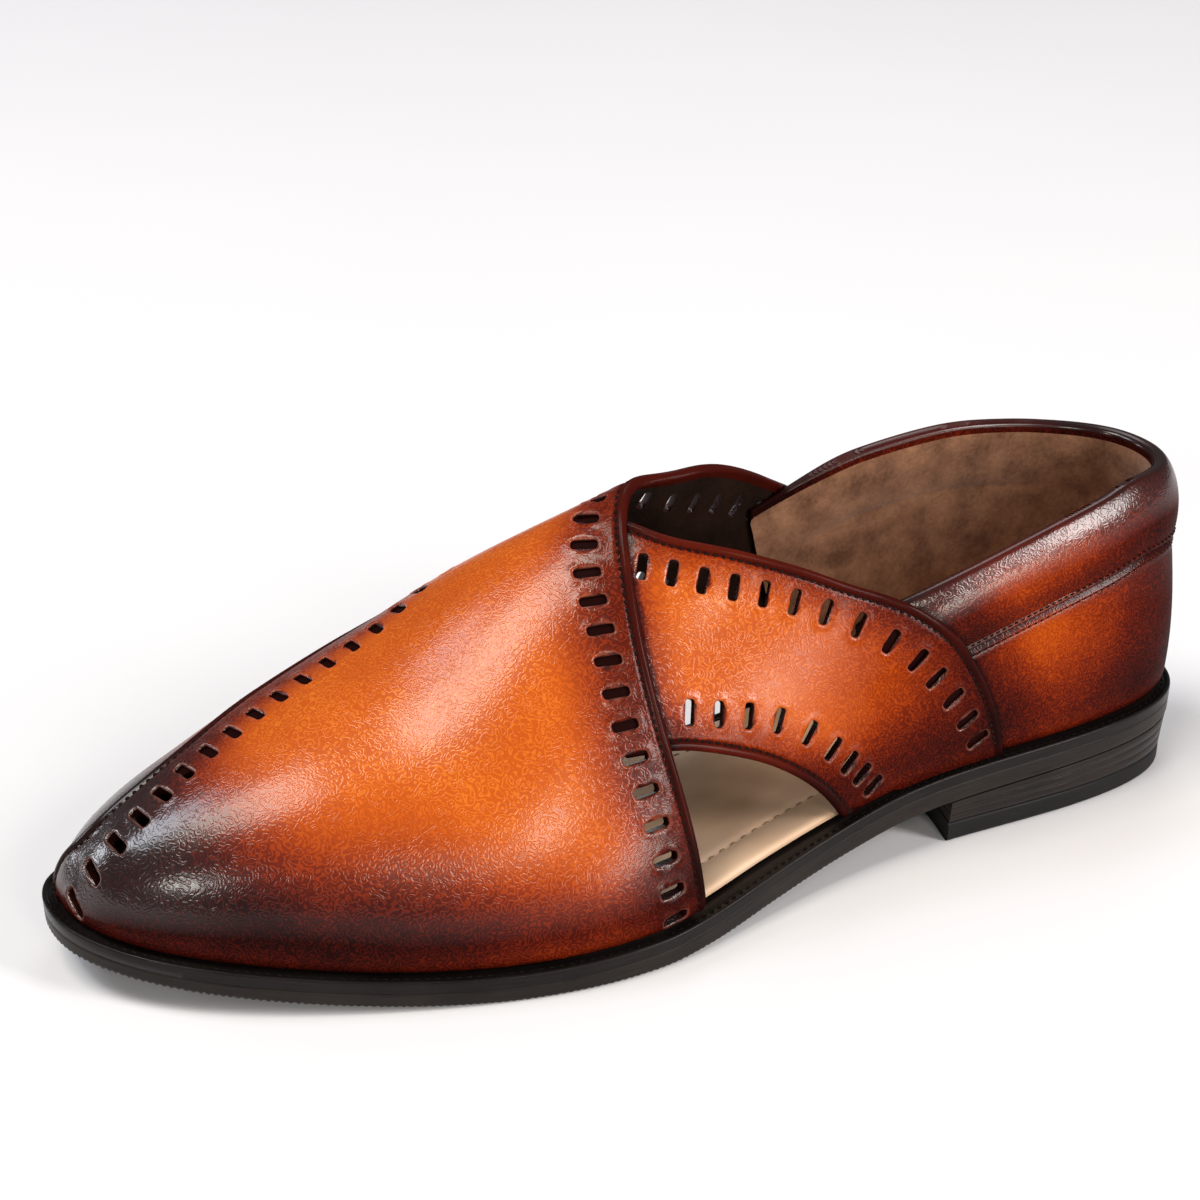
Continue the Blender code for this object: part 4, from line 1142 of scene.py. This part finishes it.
def add_outsole(material):
    under, top = underside, above(sole_top, -WELT - GAP)
    profile = (
        (TREAD_INSET, lambda x: under(x) + TREAD * smoothstep(146.0, 149.0, x), 0.0, 0.0),
        (TREAD_INSET - 0.35, under, 0.0, 0.0), (7.7, under, 0.0, 0.0), (7.45, under, 0.35, 0.0),
        (6.75, under, 0.35, 0.0), (6.5, under, 0.0, 0.0), (3.2, under, 0.0, 0.0), (1.2, under, 0.02, 0.0),
        (0.5, under, 0.15, 0.4), (0.28, under, 0.5, 0.8), (0.22, under, 1.1, 1.3), (0.2, under, 1.7, 1.9),
        (0.2, top, -1.5, 3.2), (0.14, top, -0.9, 3.8), (0.12, top, -0.1, 4.4), (0.2, top, 0.0, 4.7),
        (1.5, top, 0.0, 5.5),
    )
    serrated = ((6, 0.1), (7, 0.4), (8, 1.0), (9, 1.0), (10, 0.35))  # row of the profile, and how deep
    add_profile("outsole_leather", profile, material, "outsole", span, serrated)


def side_at(x, side, inset):
    """Where the inset outline crosses a length station on one side."""
    line = outline(np.linspace(0.02, pi - 0.02, 900), side, inset)
    return np.interp(x, line[:, 0], line[:, 1])


def add_ribs(material):
    """Fine bars across the forepart, standing in the sunk field."""
    middles = np.arange(153.0, 284.0, RIB_PITCH)
    points = []
    for middle in middles:
        for share, rise in RIB_PROFILE:
            x = middle + share * RIB_WIDTH
            points += [(x, side_at(x, side, TREAD_INSET + 1.2), underside(x) + rise) for side in (1, -1)]
    count = len(RIB_PROFILE)
    size = 2 * count
    faces = [(2 * k, 2 * k + 2, 2 * k + 3, 2 * k + 1) for k in range(count - 1)]
    faces += [(size - 2, 0, 1, size - 1), range(size - 2, -1, -2), range(1, size, 2)]
    values = {"run": np.repeat(middles, size), "up": np.array(points)[:, 1]}
    faces = copies(faces, len(middles), size)
    add_mesh("outsole_ribs", points, faces, (material,), values=values)


def add_welt(material):
    low, top = above(sole_top, -WELT - 0.9 * GAP), sole_top
    profile = (
        (1.2, low, 0.0, 0.0), (0.22, low, 0.01, 0.4), (0.1, low, 0.1, 0.8), (0.08, top, -1.4, 2.0),
        (0.05, top, -0.7, 2.6), (0.1, top, -0.3, 3.0), (0.3, top, -0.06, 3.3), (0.6, top, 0.0, 3.6),
        (0.95, top, -0.08, 3.9), (1.25, top, -0.45, 4.3), (1.6, top, -0.62, 4.7), (2.9, top, -0.7, 6.0),
        (4.2, top, -0.75, 7.2), (WELT_WIDTH, top, -0.75, 13.0), (WELT_WIDTH, low, 0.0, 15.0),
    )
    add_profile("welt_leather", profile, material, "welt", None)


def add_insole(material):
    rest = above(sole_top, GAP)
    bed = (  # inset from the feather line, height, and place on the streaks' scale
        (0.5, 0.0, 3.0), (0.45, 0.7, 3.6), (0.6, 1.2, 4.0), (0.95, 1.6, 4.4), (1.5, 1.83, 4.8),
        (2.4, 1.9, 5.4), (8.6, 1.9, 9.0), (9.1, 1.68, 9.4), (9.6, 1.9, 9.8), (12.0, 1.9, 12.0))
    profile = [(WELT_WIDTH + GAP, sole_top, -WELT, 0.0), (WELT_WIDTH + GAP, rest, 0.0, 1.0)]
    profile += [(above(feather_inset, inset), rest, rise, up) for inset, rise, up in bed]
    add_profile("insole_leather", profile, material, "insole", span)


def ring_seam(inset, height, stitch):
    """Centres and directions of stitches lying along a ring of the sole."""
    ring = sole_ring(inset, height)
    ring = np.concatenate([ring, ring[:1]])
    length = real_length(ring)
    at = np.arange(0.5, int(length[-1] / stitch[0])) * stitch[0]
    middle = read_at(at, length, ring)
    along = unit(read_at(at + 0.2, length, ring) - middle)
    side = np.cross((0.0, 0.0, 1.0), along)
    return middle, along, unit(np.cross(along, side))


def heel_ring(inset, share, low, high):
    """Points round the heel block at a share of its height, ending in its hollow front face."""
    angle = np.linspace(0, turn(HEEL_BREAST), 130)
    outer, inner = (outline(angle, side, inset) for side in (1, -1))
    t = np.linspace(0, 1, 61)[1:-1]
    breast = outer[-1] + t[:, None] * (inner[-1] - outer[-1])
    breast[:, 0] -= BREAST_HOLLOW * 4 * t * (1 - t)
    plan = np.concatenate([outer, breast, inner[:0:-1]])
    return np.column_stack([plan, low(plan[:, 0]) * (1 - share) + high(plan[:, 0]) * share])


def add_heel(stack_material, cap_material):
    floor = np.zeros_like
    low, high = above(floor, TOP_PIECE + GAP), above(underside, -GAP)
    rings = [heel_ring(1.7, 0.0, low, high)]
    for lift in range(LIFTS):
        for part, notch in LIFT_PROFILE:
            share = (lift + part) / LIFTS
            rings.append(heel_ring(1.3 - 0.8 * share + notch, share, low, high))
    rings.append(heel_ring(0.75, 1.0, low, high))
    add_rings("heel_lifts", rings, stack_material, "heel_stack", flat_end)
    rings = [heel_ring(inset, share, floor, above(floor, TOP_PIECE)) for inset, share in TOP_PIECE_PROFILE]
    add_rings("heel_top_piece", rings, cap_material, "heel_cap", flat_end)


# ---------------- the shoe ----------------
# Colours come in pairs of a dark and a light one.
DARK_SUEDE = ((0.006, 0.0022, 0.0012), (0.020, 0.008, 0.004))
BROWN_SUEDE = ((0.12, 0.050, 0.026), (0.36, 0.18, 0.10))
DARK_THREAD = ((0.004, 0.003, 0.003), (0.028, 0.014, 0.012))
BLACK_THREAD = ((0.003, 0.003, 0.003), (0.016, 0.014, 0.012))
TAN_THREAD = ((0.20, 0.12, 0.07), (0.42, 0.28, 0.17))
OUTSOLE_INK = ((0.006, 0.0045, 0.004), (0.028, 0.021, 0.018))
RIB_INK = ((0.006, 0.005, 0.0045), (0.02, 0.016, 0.014))
WELT_INK = ((0.004, 0.003, 0.003), (0.016, 0.012, 0.011))
STACK_INK = ((0.006, 0.0045, 0.004), (0.03, 0.022, 0.019))
RUBBER = ((0.005, 0.005, 0.005), (0.018, 0.017, 0.016))
INSOLE_TONES = ((0.3, (0.66, 0.41, 0.25)), (0.5, (0.79, 0.53, 0.35)), (0.75, (0.86, 0.63, 0.45)))


def add_upper():
    leather = leather_material()
    dark_lining = suede_material("dark_lining", *DARK_SUEDE, 0.02)
    brown_lining = suede_material("quarter_lining", *BROWN_SUEDE, 0.2)
    thread = thread_material("dark_thread", *DARK_THREAD)
    loose = even_points()
    loose = loose[in_border(loose)]
    add_panel(OVER_PANEL, loose, leather, dark_lining, "upper")
    add_panel(UNDER_PANEL, loose, leather, dark_lining)
    add_panel(QUARTER, loose, leather, brown_lining)
    seams = [seam_on_panel(panel, shifted(line, side * SEAM_INSET), PANEL_STITCH, hidden)
             for panel, hidden in ((OVER_PANEL, None), (UNDER_PANEL, on_over))
             for line, side in panel.free_edges]
    add_stitches("panel_stitches", seams, thread, PANEL_STITCH)
    seams = [seam_on_panel(QUARTER, collar_line(depth, side), COLLAR_STITCH, on_panels)
             for depth in COLLAR_SEAM_ROWS for side in (1, -1)]
    add_stitches("collar_stitches", seams, thread, COLLAR_STITCH)


def add_sole():
    add_outsole(edge_material("inked_edge", *OUTSOLE_INK))
    add_ribs(edge_material("sole_ribs", *RIB_INK, (0.45, 0.6)))
    add_welt(edge_material("welt_ink", *WELT_INK, (0.22, 0.38)))
    add_heel(edge_material("stack_ink", *STACK_INK),
             edge_material("top_piece_rubber", *RUBBER, (0.5, 0.65)))
    add_insole(insole_material())
    black = thread_material("welt_thread", *BLACK_THREAD)
    seam = ring_seam(2.3, above(sole_top, -0.68), WELT_STITCH)
    add_stitches("welt_stitches", [seam], black, WELT_STITCH)
    tan = thread_material("insole_thread", *TAN_THREAD)
    seam = ring_seam(above(feather_inset, 9.1), above(sole_top, GAP + 1.7), INSOLE_STITCH)
    add_stitches("insole_stitches", [seam], tan, INSOLE_STITCH)
    middle, along, up = ring_seam(7.1, above(underside, 0.42), OUTSOLE_STITCH)
    ahead = middle[:, 0] > HEEL_BREAST + 3  # none are under the heel
    seam = middle[ahead], along[ahead], -up[ahead]
    add_stitches("outsole_stitches", [seam], black, OUTSOLE_STITCH)


# ---------------- the stage ----------------
CAMERA = {"azimuth": 156.19, "elevation": 26.89, "distance": 650.26, "lens": 69.685,
          "target": (130.98, -75.12, 30.0)}
LIGHT_DISTANCE = 3.0
LIGHTS = (
    # name, azimuth and elevation in degrees, width and height in metres, watts, colour
    ("key", 100.0, 68.0, 1.2, 1.1, 46.0, (1.0, 0.94, 0.82)),
    ("toe", 64.0, 51.0, 0.9, 1.0, 24.0, (0.86, 0.91, 1.0)),
    ("tip", 46.0, 15.0, 0.7, 0.35, 8.0, (0.88, 0.93, 1.0)),
    ("streak", 130.0, 24.0, 0.55, 0.3, 11.0, (1.0, 0.96, 0.90)),
    ("front", 180.5, 28.5, 0.45, 0.6, 12.0, (1.0, 0.94, 0.78)),
    ("side", 206.0, 5.0, 0.9, 0.45, 15.0, (1.0, 0.93, 0.82)),
    ("rim", 221.0, 28.0, 0.75, 1.5, 56.0, (1.0, 0.95, 0.92)),
    ("back", 330.0, 50.0, 1.2, 0.9, 10.0, (1.0, 1.0, 1.0)),
)
WORLD_LIGHT = 0.16
WORLD_COLOUR = (0.97, 0.98, 1.0, 1.0)
FLOOR_REACH = 6.0
FLOOR_TONES = (0.86, 0.88)
FLOOR_COOLER = 1.045  # its blue, compared with its red and green


def towards(azimuth, elevation):
    """Direction in the frame for an azimuth and elevation in degrees; 180 looks from the outer side."""
    azimuth, elevation = radians(azimuth), radians(elevation)
    return Vector((sin(azimuth) * cos(elevation), -cos(azimuth) * cos(elevation), sin(elevation)))


def add_stage():
    mesh = bpy.data.meshes.new("floor")
    corners = [(x * FLOOR_REACH, y * FLOOR_REACH, 0) for x, y in ((-1, -1), (1, -1), (1, 1), (-1, 1))]
    mesh.from_pydata(corners, [], [(0, 1, 2, 3)])
    mesh.materials.append(floor_material())
    add_object("floor", mesh)
    world = bpy.data.worlds.new("studio")
    world.use_nodes = True
    background = world.node_tree.nodes["Background"]
    background.inputs["Color"].default_value = WORLD_COLOUR
    background.inputs["Strength"].default_value = WORLD_LIGHT
    bpy.context.scene.world = world
    for name, azimuth, elevation, wide, high, power, colour in LIGHTS:
        light = bpy.data.lights.new(name, "AREA")
        light.shape, light.size, light.size_y = "RECTANGLE", wide, high
        light.energy, light.color = power, colour
        lamp = add_object(name, light)
        lamp.location = towards(azimuth, elevation) * LIGHT_DISTANCE
        lamp.rotation_euler = lamp.location.to_track_quat("Z", "Y").to_euler()


def add_camera():
    back = towards(CAMERA["azimuth"], CAMERA["elevation"])
    data = bpy.data.cameras.new("camera")
    data.lens, data.sensor_width = CAMERA["lens"], 36.0
    data.clip_start, data.clip_end = 0.01, 20.0
    camera = add_object("camera", data)
    camera.location = Vector(to_frame(CAMERA["target"])) + back * CAMERA["distance"] * MM
    camera.rotation_euler = back.to_track_quat("Z", "Y").to_euler()
    bpy.context.scene.camera = camera


bpy.context.scene.view_settings.view_transform = "Standard"
add_upper()
add_sole()
add_stage()
add_camera()
